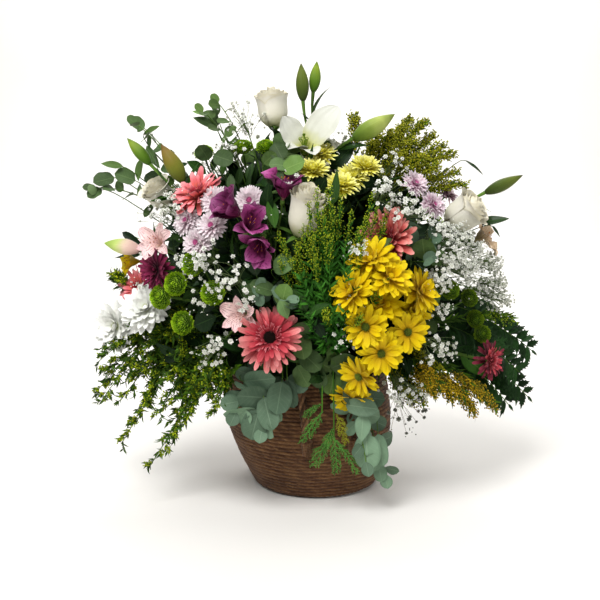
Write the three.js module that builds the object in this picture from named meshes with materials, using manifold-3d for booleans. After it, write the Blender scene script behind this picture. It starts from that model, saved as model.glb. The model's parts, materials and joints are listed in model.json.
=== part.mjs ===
// A filled flower basket: a coiled seagrass basket with two rope handles, a plastic liner and a block of
// wet floral foam, and cut stems standing in holes in the foam.
// Millimetres, +Z up, origin on the ground under the middle of the basket's flat base, front toward -Y.
import * as THREE from 'three';
import { mergeVertices } from 'three/addons/utils/BufferGeometryUtils.js';
import Module from 'manifold-3d';

const wasm = await Module();
wasm.setup();

// ---------------------------------------------------------------- driving dimensions, mm
const BASE_RADIUS = 82;
const BASE_EDGE_RADIUS = 93;
const BELLY_RADIUS = 127;
const BELLY_HEIGHT = 122;
const RIM_RADIUS = 124;
const RIM_HEIGHT = 188;
const RIM_LEAN = -20;
const WALL = 7;
const FLOOR = 8;
const INNER_HEIGHTS = [RIM_HEIGHT, 95, FLOOR];
const COIL_ROWS = 8;
const COIL_RELIEF = 1.6;
const BASKET_SIDES = 18;

const LINER = 1.2;
const LINER_INSET = 7.75;
const LINER_DROP = 5;
const FOAM_TOP = 214;
const FOAM_SHOULDER = 12;
const FOAM_INSET = 11.8;
const FOAM_SIDES = 12;

const GAP = 0.35;
const WELD = 1e-3;
const ROPE_RADIUS = 6.2;
const ROPE_LOBE = 0.16;
const ROPE_STEPS = 14;
const ROPE_SIDES = 4;
const ROPE_TURNS = 9;
const WRAP_RADIUS = 8.6;
const WRAP_HEIGHT = 17;
const HANDLE_FOOT = 84;
const HANDLE_TOP = 207;
const HANDLE_SPREAD = 15;
const RIM_REACH = 148;
const HANDLE_FRONT_AZIMUTH = 13;
const HANDLE_BACK_AZIMUTH = 193;

// Stems aim at one deep point, so that they spread and never cross inside the foam.
const STEM_HEART = vec(-18, 0, -60);
const STEM_DEPTH = 58;
const GOLDEN_TURN = 2.4;
const ENTRY_RADIUS = 96;
const ENTRY_PITCH = 10.5;
const WIDEST_HEAD = 300;

// Thicknesses and radii that the cut flowers share.
const LEAF = 1.4;
const LILY_PETAL = 2.2;
const LILY_CUP = 0.3;
const ROSE_STEM = 2.6;
const LILY_STEM = 2.8;
const BUD_STEM = 2.4;
const SPRAY_STEM = 2.3;
const SINGLE_STEM = 2;
const TWIG_STEM = 2;
const BUD_PEDICEL = 1.9;
const PEDICEL = 1.5;

// The flower heads lie on and near this dome.
const DOME_CENTRE = vec(-20, 0, 315);
const DOME_AXES = vec(250, 185, 228);

// ---------------------------------------------------------------- the view that places are read in
// A place is read as a pixel of the 600 pixel frame, seen from the front and a little above.
const LOOK_AT = vec(-25, 0, 285);
const EYE_DISTANCE = 1500;
const EYE_RISE = THREE.MathUtils.degToRad(9);
const FOCAL_PIXELS = 975;
const FRAME_MIDDLE = 300;

// ---------------------------------------------------------------- colours
const COLOURS = {
  seagrass: 0x6b4a30,
  rope: 0x5d3f28,
  liner: 0x3c3a36,
  foam: 0x4d6b3f,
  cream: 0xece6d4,
  coral: 0xe0717a,
  coralRed: 0xc9514c,
  darkRed: 0x7c2130,
  white: 0xf2f1ea,
  budGreen: 0x9fb356,
  yellow: 0xf2cf1d,
  lemon: 0xeef0a0,
  pinkWhite: 0xe3bfd6,
  lilac: 0xc9a5cc,
  lime: 0x7fa52d,
  purple: 0x7a2a5e,
  palePink: 0xdcb3b4,
  burgundy: 0x57182b,
  gypsophila: 0xeeece8,
  solidago: 0x7f8f2c,
  spray: 0x54762f,
  eucalyptus: 0x6e8b77,
  thuja: 0x3f7a2c,
  fern: 0x2c4a2a,
};

// ---------------------------------------------------------------- where the flowers stand
const ROSES = {
  rose_top: { at: seen(271, 106, 50), facing: vec(-0.12, -0.2, 1), diameter: 54, height: 60 },
  rose_centre: { at: seen(308, 211, 178), facing: vec(0.3, -0.55, 0.8), diameter: 62, height: 74 },
  rose_right: { at: seen(466, 212, 40), facing: vec(0.4, -0.35, 0.8), diameter: 64, height: 66 },
  rose_left: { at: seen(158, 192, 35), facing: vec(-0.5, -0.4, 0.75), diameter: 50, height: 52 },
  rose_back: { at: around(168, 52, 0), facing: vec(0.1, 0.7, 0.75), diameter: 58, height: 64 },
};

const GERBERAS = {
  gerbera_front: {
    colour: 'coral', at: onDome(270, 338, 14),
    facing: vec(-0.05, -0.92, 0.35), diameter: 102,
  },
  gerbera_right: {
    colour: 'coralRed', at: onDome(394, 239, -22),
    facing: vec(-0.3, -0.4, 0.85), diameter: 88,
  },
  gerbera_upper_left: {
    colour: 'coral', at: onDome(199, 196, -2),
    facing: vec(-0.38, -0.35, 0.85), diameter: 86,
  },
  gerbera_left: {
    colour: 'coral', at: onDome(142, 290, -6),
    facing: vec(-0.7, -0.5, 0.5), diameter: 78,
  },
  gerbera_far_right: {
    colour: 'darkRed', at: seen(487, 361, 60),
    facing: vec(0.75, -0.6, 0.15), diameter: 80,
  },
  gerbera_back: {
    colour: 'coral', at: around(196, 12, 2),
    facing: vec(-0.2, 0.95, 0.25), diameter: 96,
  },
};

const LILY = { at: seen(302, 148, 100), facing: vec(-0.1, -0.4, 0.9), reach: 72 };

// Buds: the tip and the base of each, and how far in front of the axis they stand.
const LILY_BUDS = {
  lily_buds_top: [
    { tip: seen(301, 63, 44), base: seen(303, 102, 48), diameter: 18 },
    { tip: seen(317, 61, 30), base: seen(313, 93, 36), diameter: 16 },
    { tip: seen(395, 114, 88), base: seen(352, 139, 84), diameter: 25 },
  ],
  lily_buds_left: [
    { tip: seen(161, 144, 66), base: seen(184, 183, 66), diameter: 22 },
    { tip: seen(127, 138, 40), base: seen(151, 165, 46), diameter: 17 },
  ],
  lily_bud_low_left: [{ tip: seen(104, 243, 62), base: seen(141, 250, 74), diameter: 22 }],
  lily_bud_right: [{ tip: seen(523, 175, 16), base: seen(484, 193, 10), diameter: 18 }],
};

// Sprays: several heads of one kind, each on its own pedicel, that branch from one stem.
const SPRAYS = {
  white_mums_left: {
    kind: mum, colour: 'white', diameter: 76, petals: 9,
    heads: [onDome(147, 309, 10), onDome(117, 326, 0)],
  },
  white_mums_back: { kind: mum, colour: 'white', diameter: 74, petals: 9, heads: [around(148, 0, 4)] },
  daisies_upper: {
    kind: daisy, colour: 'yellow', diameter: 54,
    heads: [
      onDome(371, 260, 10), onDome(390, 277, 24), onDome(352, 292, 14), onDome(380, 303, 6),
      onDome(420, 291, 10), onDome(411, 316, -2),
    ],
  },
  daisies_lower: {
    kind: daisy, colour: 'yellow', diameter: 54,
    heads: [
      onDome(365, 327, 24), onDome(409, 334, 18), onDome(383, 354, 34),
      onDome(361, 376, 22), onDome(349, 398, 14),
    ],
  },
  daisies_back: {
    kind: daisy, colour: 'yellow', diameter: 60,
    heads: [around(228, 0, 6), around(218, -16, 6)],
  },
  mums_lemon: {
    kind: mum, colour: 'lemon', diameter: 44, petals: 8,
    heads: [
      onDome(320, 155, 0), onDome(312, 171, 10), onDome(341, 186, 6),
      onDome(352, 178, -8), onDome(365, 168, 0),
    ],
  },
  mums_pink_left: {
    kind: mum, colour: 'pinkWhite', diameter: 44, petals: 8,
    heads: [
      onDome(212, 226, 12), onDome(187, 221, 4), onDome(197, 243, 10),
      onDome(250, 201, 8), onDome(215, 203, 22),
    ],
  },
  mums_pink_right: {
    kind: mum, colour: 'lilac', diameter: 42, petals: 8,
    heads: [onDome(415, 184, 0), onDome(433, 205, 0), onDome(447, 194, -8)],
  },
  mums_pink_back: {
    kind: mum, colour: 'pinkWhite', diameter: 46, petals: 8,
    heads: [around(196, 44, 0), around(209, 36, 2)],
  },
  pompons_left: {
    kind: pompon, colour: 'lime', diameter: 36,
    heads: [
      onDome(193, 264, 12), onDome(176, 284, 12), onDome(161, 297, 16),
      onDome(183, 323, 12), onDome(213, 293, 10),
    ],
  },
  pompons_top: {
    kind: pompon, colour: 'lime', diameter: 31,
    heads: [onDome(243, 148, 0), onDome(266, 148, 0), onDome(204, 153, -20)],
  },
  pompons_right: {
    kind: pompon, colour: 'lime', diameter: 29,
    heads: [onDome(450, 290, 10), onDome(469, 298, 8), onDome(475, 319, 10), onDome(482, 334, 4)],
  },
  pompons_back: {
    kind: pompon, colour: 'lime', diameter: 34,
    heads: [around(128, 30, 2), around(117, 20, 2)],
  },
  alstroemeria_purple: {
    kind: trumpet, colour: 'purple', diameter: 48,
    heads: [onDome(236, 214, 22), onDome(251, 231, 18), onDome(262, 249, 18), onDome(284, 189, 16)],
  },
  alstroemeria_pale_left: {
    kind: trumpet, colour: 'palePink', diameter: 48,
    heads: [onDome(158, 243, 10)],
  },
  alstroemeria_pale_centre: {
    kind: trumpet, colour: 'palePink', diameter: 46,
    heads: [onDome(243, 314, -2)],
  },
  alstroemeria_pale_right: {
    kind: trumpet, colour: 'palePink', diameter: 46,
    heads: [onDome(482, 238, -14)],
  },
  alstroemeria_yellow: {
    kind: trumpet, colour: 'yellow', diameter: 40,
    heads: [onDome(133, 261, 14)],
  },
  burgundy_mum: {
    kind: mum, colour: 'burgundy', diameter: 56, petals: 9,
    heads: [onDome(157, 270, 14)],
  },
};

// Baby's breath: the middle of each cloud of florets.
const GYPSOPHILA = {
  gypsophila_top_left: [seen(243, 122, 66)],
  gypsophila_left: [onDome(176, 212, 10), onDome(208, 262, 16)],
  gypsophila_centre: [onDome(232, 280, 18), onDome(218, 348, 8)],
  gypsophila_mid_right: [onDome(385, 192, 14), onDome(405, 214, 12)],
  gypsophila_right: [onDome(450, 246, 14), onDome(477, 272, 12)],
  gypsophila_low_right: [onDome(432, 345, 16), onDome(402, 388, 22)],
  gypsophila_back: [around(176, 28, 8)],
};
const LARGE_MUM = 50;
const CLOUD_REACH = 27;
const FLORET_RADIUS = 4.4;
const HUB_RADIUS = 2;
const PLUME_GIRTHS = [7, 5, 3.6, 2.6];
const PLUME_STEPS = 10;

// Solidago and the other airy greens: the tips of the plumes of each spray.
const PLUMES = {
  solidago_centre: {
    colour: 'solidago',
    tips: [onDome(345, 206, 12), onDome(340, 232, 32), onDome(366, 226, 14)],
  },
  solidago_upper_right: {
    colour: 'solidago',
    tips: [seen(354, 120, 20), seen(390, 138, 60), seen(424, 125, 20), seen(452, 156, 30)],
  },
  solidago_lower_right: {
    colour: 'solidago',
    tips: [seen(452, 398, 130), seen(474, 412, 100), seen(495, 408, 70), seen(512, 318, 20)],
  },
  solidago_back: {
    colour: 'solidago',
    tips: [around(168, -22, 26), around(192, -27, 22), around(144, -20, 22)],
  },
};

// Feathery greens: flat fronds of small leaflets, by the tip of each.
const FRONDS = {
  greens_lower_left: {
    colour: 'spray', leaflets: 5, width: 46,
    tips: [
      seen(101, 404, 60), seen(121, 444, 100), seen(150, 466, 120),
      seen(172, 438, 150), seen(216, 414, 165),
    ],
  },
  thuja_front: {
    colour: 'thuja', leaflets: 4, width: 32,
    tips: [seen(303, 440, 172), seen(322, 468, 176), seen(338, 452, 190)],
  },
  fern_right: { colour: 'fern', leaflets: 5, width: 46, tips: [seen(531, 350, -14), seen(527, 396, 0)] },
};

// Silver-dollar eucalyptus: the tips of each branch's twigs and the size of its leaves.
const EUCALYPTUS = {
  eucalyptus_upper_left: { leaf: 26, pairs: 2, tips: [seen(136, 124, 50), seen(94, 188, 30)] },
  eucalyptus_top: {
    leaf: 25, pairs: 1,
    tips: [seen(203, 112, 40), seen(218, 103, 20), seen(288, 151, 118)],
  },
  eucalyptus_centre: { leaf: 27, pairs: 1, tips: [onDome(257, 292, 14), onDome(284, 300, 22)] },
  eucalyptus_front_low: { leaf: 36, pairs: 2, tips: [seen(236, 412, 168), seen(262, 428, 170)] },
  eucalyptus_hanging: { leaf: 33, pairs: 2, tips: [seen(366, 462, 168), seen(384, 474, 140)] },
  eucalyptus_right: { leaf: 27, pairs: 1, tips: [onDome(432, 240, 12), onDome(424, 262, 14)] },
};

// ---------------------------------------------------------------- small helpers
function vec(x, y, z) {
  return new THREE.Vector3(x, y, z);
}

function fan(count, make) {
  return Array.from({ length: count }, (_, index) => make(index));
}

function seededRandom(seed) {
  let state = seed;
  return () => {
    state = (state * 1664525 + 1013904223) % 4294967296;
    return state / 4294967296;
  };
}

function seedOf(name) {
  return [...name].reduce((sum, letter) => (sum * 31 + letter.charCodeAt(0)) % 1000003, 7);
}

function eyeAndRay(u, v) {
  const forward = vec(0, Math.cos(EYE_RISE), -Math.sin(EYE_RISE));
  const up = vec(0, Math.sin(EYE_RISE), Math.cos(EYE_RISE));
  const eye = LOOK_AT.clone().addScaledVector(forward, -EYE_DISTANCE);
  const ray = forward.addScaledVector(vec(1, 0, 0), (u - FRAME_MIDDLE) / FOCAL_PIXELS);
  ray.addScaledVector(up, (FRAME_MIDDLE - v) / FOCAL_PIXELS);
  return { eye, ray };
}

// The point seen at pixel (u, v) that stands `front` mm before the basket's axis.
function seen(u, v, front) {
  const { eye, ray } = eyeAndRay(u, v);
  return eye.addScaledVector(ray, (-front - eye.y) / ray.y);
}

// The point seen at pixel (u, v) on the dome, lifted outward; past the dome's outline, the nearest one.
function onDome(u, v, lift) {
  const { eye, ray } = eyeAndRay(u, v);
  const axes = DOME_AXES.clone().addScalar(lift);
  const start = eye.clone().sub(DOME_CENTRE).divide(axes);
  const step = ray.clone().divide(axes);
  const half = start.dot(step) / step.lengthSq();
  const inside = half * half - (start.lengthSq() - 1) / step.lengthSq();
  return eye.addScaledVector(ray, -half - Math.sqrt(Math.max(inside, 0)));
}

// A point on the dome by azimuth (0 at the front, 90 at the right) and elevation in degrees.
function around(azimuth, elevation, lift) {
  const turn = THREE.MathUtils.degToRad(azimuth);
  const rise = THREE.MathUtils.degToRad(elevation);
  const direction = vec(Math.sin(turn) * Math.cos(rise), -Math.cos(turn) * Math.cos(rise), Math.sin(rise));
  return direction.multiply(DOME_AXES.clone().addScalar(lift)).add(DOME_CENTRE);
}

function middleOf(points) {
  return points.reduce((sum, point) => sum.add(point), vec(0, 0, 0)).divideScalar(points.length);
}

function outward(point) {
  return point.clone().sub(DOME_CENTRE).divide(DOME_AXES).normalize();
}

// ---------------------------------------------------------------- solids
function shell(vertices, triangles) {
  const geometry = new THREE.BufferGeometry();
  const numbers = vertices.flatMap((vertex) => vertex.toArray());
  geometry.setAttribute('position', new THREE.Float32BufferAttribute(numbers, 3));
  geometry.setIndex(triangles.flat());
  return geometry;
}

// The geometry with shared vertices and no collapsed triangles, facing out.
function welded(geometry) {
  const bare = new THREE.BufferGeometry();
  bare.setAttribute('position', geometry.getAttribute('position').clone());
  if (geometry.index) bare.setIndex(geometry.index.clone());
  const merged = mergeVertices(bare, WELD);
  const { position } = merged.attributes;
  const corner = fan(position.count, (i) => new THREE.Vector3().fromBufferAttribute(position, i));
  const triangles = fan(merged.index.count / 3, (i) => [0, 1, 2].map((k) => merged.index.getX(3 * i + k)));
  const whole = triangles.filter(([a, b, c]) => a !== b && b !== c && c !== a);
  const volumes = whole.map(([a, b, c]) => corner[a].dot(corner[b].clone().cross(corner[c])));
  const volume = volumes.reduce((sum, one) => sum + one, 0);
  return shell(corner, volume > 0 ? whole : whole.map(([a, b, c]) => [a, c, b]));
}

function swollen(geometry, by) {
  const fat = geometry.clone();
  fat.computeVertexNormals();
  const { position, normal } = fat.attributes;
  for (let i = 0; i < position.count; i += 1) {
    const moved = new THREE.Vector3().fromBufferAttribute(normal, i).multiplyScalar(by);
    moved.add(new THREE.Vector3().fromBufferAttribute(position, i));
    position.setXYZ(i, moved.x, moved.y, moved.z);
  }
  return fat;
}

function solidOf(geometry) {
  const vertProperties = new Float32Array(geometry.attributes.position.array);
  const triVerts = new Uint32Array(geometry.index.array);
  return new wasm.Manifold(new wasm.Mesh({ numProp: 3, vertProperties, triVerts }));
}

function geometryOf(solid) {
  const mesh = solid.getMesh();
  const geometry = new THREE.BufferGeometry();
  geometry.setAttribute('position', new THREE.Float32BufferAttribute(mesh.vertProperties, 3));
  geometry.setIndex([...mesh.triVerts]);
  geometry.computeVertexNormals();
  return geometry;
}

// ---------------------------------------------------------------- pieces and the room round them
const pieces = new Map();

function startPiece(name, colour, roughness) {
  pieces.set(name, { colour, roughness, parts: [] });
}

function boxesMeet(one, other) {
  return [0, 1, 2].every((k) => one.min[k] < other.max[k] && other.min[k] < one.max[k]);
}

function makePart(geometry, isStem = false, room = null) {
  const clean = welded(geometry);
  const guard = solidOf(room ? welded(room) : swollen(clean, GAP));
  return { solid: solidOf(clean), guard, box: guard.boundingBox(), isStem };
}

// Whether a part would come into the room that another piece's parts keep round them.
function isBlocked(name, part) {
  for (const [other, piece] of pieces) {
    if (other === name || (other === 'foam' && part.isStem)) continue;
    for (const placed of piece.parts) {
      if (!boxesMeet(placed.box, part.box)) continue;
      if (!placed.guard.intersect(part.solid).isEmpty()) return true;
    }
  }
  return false;
}

function add(name, geometry) {
  pieces.get(name).parts.push(makePart(geometry));
}

// Adds a leaf or a frond if it stands clear of the other pieces.
function addIfClear(name, geometry) {
  const part = makePart(geometry);
  if (isBlocked(name, part)) return false;
  pieces.get(name).parts.push(part);
  return true;
}

// ---------------------------------------------------------------- basic shapes
// Turns a shape made along +Z so that it points along `facing`, spins it and moves it to `at`.
function placed(geometry, at, facing, spin = 0) {
  const turn = new THREE.Quaternion().setFromUnitVectors(vec(0, 0, 1), facing.clone().normalize());
  const moved = geometry.clone();
  moved.rotateZ(spin);
  moved.applyQuaternion(turn);
  moved.translate(at.x, at.y, at.z);
  return moved;
}

// A round shape about +Z from its outline of [radius, height] pairs.
function turned(outline, sides) {
  const corners = outline.map(([radius, height]) => new THREE.Vector2(radius, height));
  return new THREE.LatheGeometry(corners, sides).rotateX(Math.PI / 2);
}

// A tube through the points, with a radius for each; its first stretch is square to its way.
function tube(points, radii, sides) {
  const tangents = points.map((point, i) => {
    const before = points[Math.max(i - 1, 0)];
    const after = points[i === 1 ? 1 : Math.min(i + 1, points.length - 1)];
    return after.clone().sub(before).normalize();
  });
  const normal = vec(tangents[0].z, tangents[0].x, tangents[0].y).cross(tangents[0]).normalize();
  const vertices = [];
  points.forEach((point, i) => {
    normal.addScaledVector(tangents[i], -normal.dot(tangents[i])).normalize();
    const binormal = tangents[i].clone().cross(normal);
    for (let k = 0; k < sides; k += 1) {
      const angle = (2 * Math.PI * k) / sides;
      const corner = point.clone().addScaledVector(normal, radii[i] * Math.cos(angle));
      vertices.push(corner.addScaledVector(binormal, radii[i] * Math.sin(angle)));
    }
  });
  const triangles = [];
  for (let i = 0; i + 1 < points.length; i += 1) {
    for (let k = 0; k < sides; k += 1) {
      const [a, b] = [i * sides + k, i * sides + ((k + 1) % sides)];
      triangles.push([a, b, b + sides], [a, b + sides, a + sides]);
    }
  }
  const last = (points.length - 1) * sides;
  for (let k = 1; k + 1 < sides; k += 1) {
    triangles.push([0, k + 1, k], [last, last + k, last + k + 1]);
  }
  return shell(vertices, triangles);
}

// A closed thin sheet from a surface(t, s), t from base to tip and s from -1 to 1 across: one sharp rim
// that both faces share, and both faces split alike.
function sheet(surface, rows, columns, thickness) {
  const front = [];
  const back = [];
  const vertices = [];
  for (let i = 0; i <= rows; i += 1) {
    for (let j = 0; j <= columns; j += 1) {
      const [t, s] = [i / rows, (2 * j) / columns - 1];
      const point = surface(t, s);
      const isRim = i === 0 || i === rows || j === 0 || j === columns;
      if (isRim) {
        front.push(vertices.length);
        back.push(vertices.length);
        vertices.push(point);
        continue;
      }
      const along = surface(t + 0.02, s).sub(surface(t - 0.02, s));
      const across = surface(t, s + 0.02).sub(surface(t, s - 0.02));
      const normal = across.cross(along).normalize().multiplyScalar(thickness / 2);
      front.push(vertices.length);
      vertices.push(point.clone().add(normal));
      back.push(vertices.length);
      vertices.push(point.clone().sub(normal));
    }
  }
  const triangles = [];
  const width = columns + 1;
  for (let i = 0; i < rows; i += 1) {
    for (let j = 0; j < columns; j += 1) {
      const [a, b, c, d] = [i * width + j, i * width + j + 1, (i + 1) * width + j + 1, (i + 1) * width + j];
      const split = j < columns / 2 ? [[a, b, c], [a, c, d]] : [[a, b, d], [b, c, d]];
      for (const [p, q, r] of split) {
        triangles.push([front[p], front[q], front[r]], [back[p], back[r], back[q]]);
      }
    }
  }
  return shell(vertices, triangles);
}

// A lily petal along +Z that arches over toward +X, widest past its middle, with its edges turned down.
function longPetal(length, width, arch) {
  const surface = (t, s) => {
    const bend = arch * t;
    const across = (s * width * Math.sin(Math.PI * Math.min(t ** 1.5, 1)) ** 0.7) / 2;
    const lifted = LILY_CUP * Math.abs(across);
    return vec(
      length * t * Math.sin(bend / 2) + lifted * Math.cos(bend),
      across,
      length * t * Math.cos(bend / 2) - lifted * Math.sin(bend),
    );
  };
  return sheet(surface, 3, 2, LILY_PETAL);
}

// A round leaf along +Z, a little cupped toward +X, with a short stalk.
function roundLeaf(size) {
  const outline = [[0, 0], [0.24, 0.44], [0.72, 0.5], [1, 0], [0.72, -0.5], [0.24, -0.44]];
  const rimPoint = ([along, across]) => vec(0.3 * across * across, across, along).multiplyScalar(size);
  const rimPoints = outline.map(rimPoint);
  const vertices = [vec(LEAF / 2, 0, size / 2), vec(-LEAF / 2, 0, size / 2), ...rimPoints];
  const triangles = rimPoints.flatMap((_, k) => {
    const [a, b] = [k + 2, ((k + 1) % rimPoints.length) + 2];
    return [[0, a, b], [1, b, a]];
  });
  return shell(vertices, triangles);
}

// A flat frond along +Z whose outline is cut into leaflets that point forward.
function frond({ length, width, leaflets, arch }) {
  const rows = 2 * leaflets;
  const surface = (t, s) => {
    const isTip = Math.round(t * rows) % 2 === 1;
    const swept = Math.abs(s) > 0.5 && isTip ? t + 0.9 / rows : t;
    const taper = t >= 1 ? 0 : Math.sin(Math.PI * (0.14 + 0.82 * t)) ** 0.8;
    const half = (width / 2) * (isTip ? 1 : 0.24) * taper;
    const bend = arch * swept;
    return vec(length * swept * Math.sin(bend / 2), s * half, length * swept * Math.cos(bend / 2));
  };
  return sheet(surface, rows, 2, LEAF);
}

// One turn of points about +Z, each as [angle, radius, height].
function ring(count, radius, height, turnBy = 0) {
  return fan(count, (i) => [turnBy + (2 * Math.PI * i) / count, radius, height]);
}

// The rim of a whorl of petals: for each petal its outline's [share of its sector, reach, height] points.
function rim(petals, outline, turnBy = 0) {
  const sector = (2 * Math.PI) / petals;
  const petal = (i) => outline.map(([share, reach, height]) => {
    const angle = turnBy + (i + share) * sector;
    return [angle, reach, height];
  });
  return fan(petals, petal).flat();
}

function pointedPetal(radius, height, notch = 0.5) {
  return [[0, radius * notch, height * notch], [0.5, radius, height]];
}

function bluntPetal(radius, height, notch = 0.5) {
  return [[0, radius * notch, height * notch], [0.27, radius, height], [0.73, radius, height]];
}

function pointRing(height) {
  return [[0, 0, height]];
}

// A closed surface through rings from its lowest point to its highest.
function ringed(rings) {
  const corner = ([angle, radius, height]) => vec(radius * Math.cos(angle), radius * Math.sin(angle), height);
  const vertices = rings.flat().map(corner);
  const angleAt = (points, i) => points[i % points.length][0] + 2 * Math.PI * Math.floor(i / points.length);
  const triangles = [];
  let start = 0;
  for (let k = 0; k + 1 < rings.length; k += 1) {
    const [lower, upper] = [rings[k], rings[k + 1]];
    const above = start + lower.length;
    let [i, j] = [0, 0];
    while (i < lower.length || j < upper.length) {
      const [a, b] = [start + (i % lower.length), above + (j % upper.length)];
      const lowerIsNext = i < lower.length && angleAt(lower, i + 1) <= angleAt(upper, j + 1);
      const stepLower = j >= upper.length || lowerIsNext;
      if (stepLower) i += 1;
      else j += 1;
      triangles.push([a, stepLower ? start + (i % lower.length) : above + (j % upper.length), b]);
    }
    start = above;
  }
  const capped = (count, from) => fan(Math.max(count - 2, 0), (i) => [from, from + i + 2, from + i + 1]);
  const topCap = capped(rings.at(-1).length, start).map(([a, b, c]) => [a, c, b]);
  return shell(vertices, [...capped(rings[0].length, 0), ...topCap, ...triangles]);
}

// Turns a leaf made along +Z so that it grows along `along` with its upper face, +X, toward `normal`.
function aimed(geometry, at, along, normal) {
  const z = along.clone().normalize();
  const x = normal.clone().addScaledVector(z, -normal.dot(z)).normalize();
  const frame = new THREE.Matrix4().makeBasis(x, z.clone().cross(x), z).setPosition(at);
  return geometry.clone().applyMatrix4(frame);
}

// ---------------------------------------------------------------- flower heads, each facing +Z
function rose({ diameter, height }) {
  const radius = diameter / 2;
  const petal = (reach, top, dip) => [[0, reach * 0.86, top - dip], [0.28, reach, top], [0.72, reach, top]];
  const rings = [
    ring(4, 6, -5), ring(7, radius * 0.82, height * 0.3),
    rim(5, petal(radius, height * 0.76, height * 0.13)), ring(6, radius * 0.62, height * 0.44),
    rim(4, petal(radius * 0.7, height * 0.93, height * 0.12), 0.5), ring(5, radius * 0.36, height * 0.6),
    rim(3, petal(radius * 0.36, height, height * 0.12), 0.2), pointRing(height * 0.8),
  ];
  return ringed(rings).translate(0, 0, -height / 2);
}

function gerbera({ diameter }) {
  const radius = diameter / 2;
  const rings = [
    ring(4, 6.5, -6), rim(12, bluntPetal(radius, 2, 0.55)), ring(6, radius * 0.4, 3),
    rim(10, pointedPetal(radius * 0.78, 9)), ring(6, radius * 0.2, 6), pointRing(9),
  ];
  return ringed(rings);
}

function daisy({ diameter }) {
  const radius = diameter / 2;
  const rings = [
    ring(3, 4.6, -4), rim(10, bluntPetal(radius, 3, 0.52)), ring(6, radius * 0.3, 2.2), pointRing(6.5),
  ];
  return ringed(rings);
}

function mum({ diameter, petals }) {
  const radius = diameter / 2;
  const crown = [
    ring(5, radius * 0.3, radius * 0.3), rim(petals - 4, pointedPetal(radius * 0.5, radius * 0.55)),
    pointRing(radius * 0.48),
  ];
  const rings = [
    ring(3, 4.6, -4), rim(petals, pointedPetal(radius, radius * 0.04)), ring(6, radius * 0.36, 2.6),
    rim(petals - 1, pointedPetal(radius * 0.76, radius * 0.34, 0.55), 0.3),
    ...(diameter > LARGE_MUM ? crown : [pointRing(radius * 0.36)]),
  ];
  return ringed(rings);
}

function pompon({ diameter }) {
  const radius = diameter / 2;
  const columns = 7;
  const rings = [0.9, 1.65, 2.35].map((tilt, row) => fan(columns, (i) => {
    const reach = radius * ((row + i) % 2 ? 0.88 : 1.06);
    return [(2 * Math.PI * i) / columns, reach * Math.sin(tilt), -reach * Math.cos(tilt)];
  }));
  return ringed([ring(3, radius * 0.36, -radius * 0.92), ...rings, pointRing(radius * 0.95)]);
}

function trumpet({ diameter }) {
  const radius = diameter / 2;
  const petal = (width, rise) => [
    [0, radius * 0.22, rise * 0.4], [0.5 - width, radius * 0.66, rise * 0.85],
    [0.5, radius, rise], [0.5 + width, radius * 0.66, rise * 0.85],
  ];
  const rings = [
    ring(3, 4, -8), rim(3, petal(0.3, radius * 0.5)), ring(4, radius * 0.16, radius * 0.2),
    rim(3, petal(0.2, radius * 0.75), Math.PI / 3), pointRing(radius * 0.3),
  ];
  return ringed(rings);
}

function lilyHead({ reach }) {
  const throatRadius = 5;
  const whorl = (width, arch, turnBy) => fan(3, (i) => {
    const petal = longPetal(reach, width, arch).translate(throatRadius, 0, 0);
    return petal.rotateZ(turnBy + (2 * Math.PI * i) / 3);
  });
  const throat = ringed([ring(4, 4, -10), ring(6, 9, 5), pointRing(5)]);
  const stamens = fan(3, (i) => {
    const angle = (2 * Math.PI * i) / 3 + 0.3;
    const lean = vec(15 * Math.cos(angle), 15 * Math.sin(angle), 46);
    const anther = [ring(3, 0.9, 40), ring(3, 2.8, 47), pointRing(52)];
    return placed(ringed([pointRing(0), ...anther]), vec(0, 0, 1), lean);
  });
  const wide = whorl(reach * 0.56, 1.5, 0.5);
  const narrow = whorl(reach * 0.38, 1.7, 0.5 + Math.PI / 3);
  return [throat, ...wide, ...narrow, ...stamens];
}

function bud({ tip, base, diameter }) {
  const length = tip.distanceTo(base);
  const rings = [
    ring(3, 2.6, -2), ring(5, diameter * 0.45, length * 0.3), ring(5, diameter * 0.48, length * 0.62),
    ring(4, diameter * 0.2, length * 0.92), pointRing(length),
  ];
  return placed(ringed(rings), base, tip.clone().sub(base));
}

// ---------------------------------------------------------------- stems
const entries = [];

// Free places for a hole in the top of the foam, those toward `goal` first.
function* freeEntries(goal) {
  const away = goal.clone().sub(STEM_HEART).setZ(0);
  const reach = ENTRY_RADIUS * Math.min(1, away.length() / WIDEST_HEAD) ** 0.8;
  const wanted = away.clone().setLength(reach).add(STEM_HEART).setZ(FOAM_TOP);
  for (let turn = 0; turn < 3000; turn += 1) {
    const angle = turn * GOLDEN_TURN;
    const shift = vec(Math.cos(angle), Math.sin(angle), 0).multiplyScalar(1.6 * Math.sqrt(turn));
    const entry = wanted.clone().add(shift);
    const isInside = entry.clone().sub(STEM_HEART).setZ(0).length() < ENTRY_RADIUS + 4;
    if (isInside && entries.every((other) => other.distanceTo(entry) > ENTRY_PITCH)) yield entry;
  }
}

// The way of a stem from deep in the foam, out of its hole and to `goal`, where it points along `arrival`.
function stemWay(entry, goal, arrival, sideStep, bends) {
  const into = STEM_HEART.clone().sub(entry).normalize();
  const foot = entry.clone().addScaledVector(into, STEM_DEPTH);
  const collar = entry.clone().addScaledVector(into, -7);
  const reach = collar.distanceTo(goal);
  const before = goal.clone().addScaledVector(arrival, -Math.min(0.3 * reach, 45));
  before.addScaledVector(sideStep, 0.4);
  const crest = collar.clone().addScaledVector(into, -0.33 * reach).add(sideStep);
  const bend = new THREE.CubicBezierCurve3(collar, crest, before, goal);
  return [foot, collar, ...bend.getPoints(bends).slice(1)];
}

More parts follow.
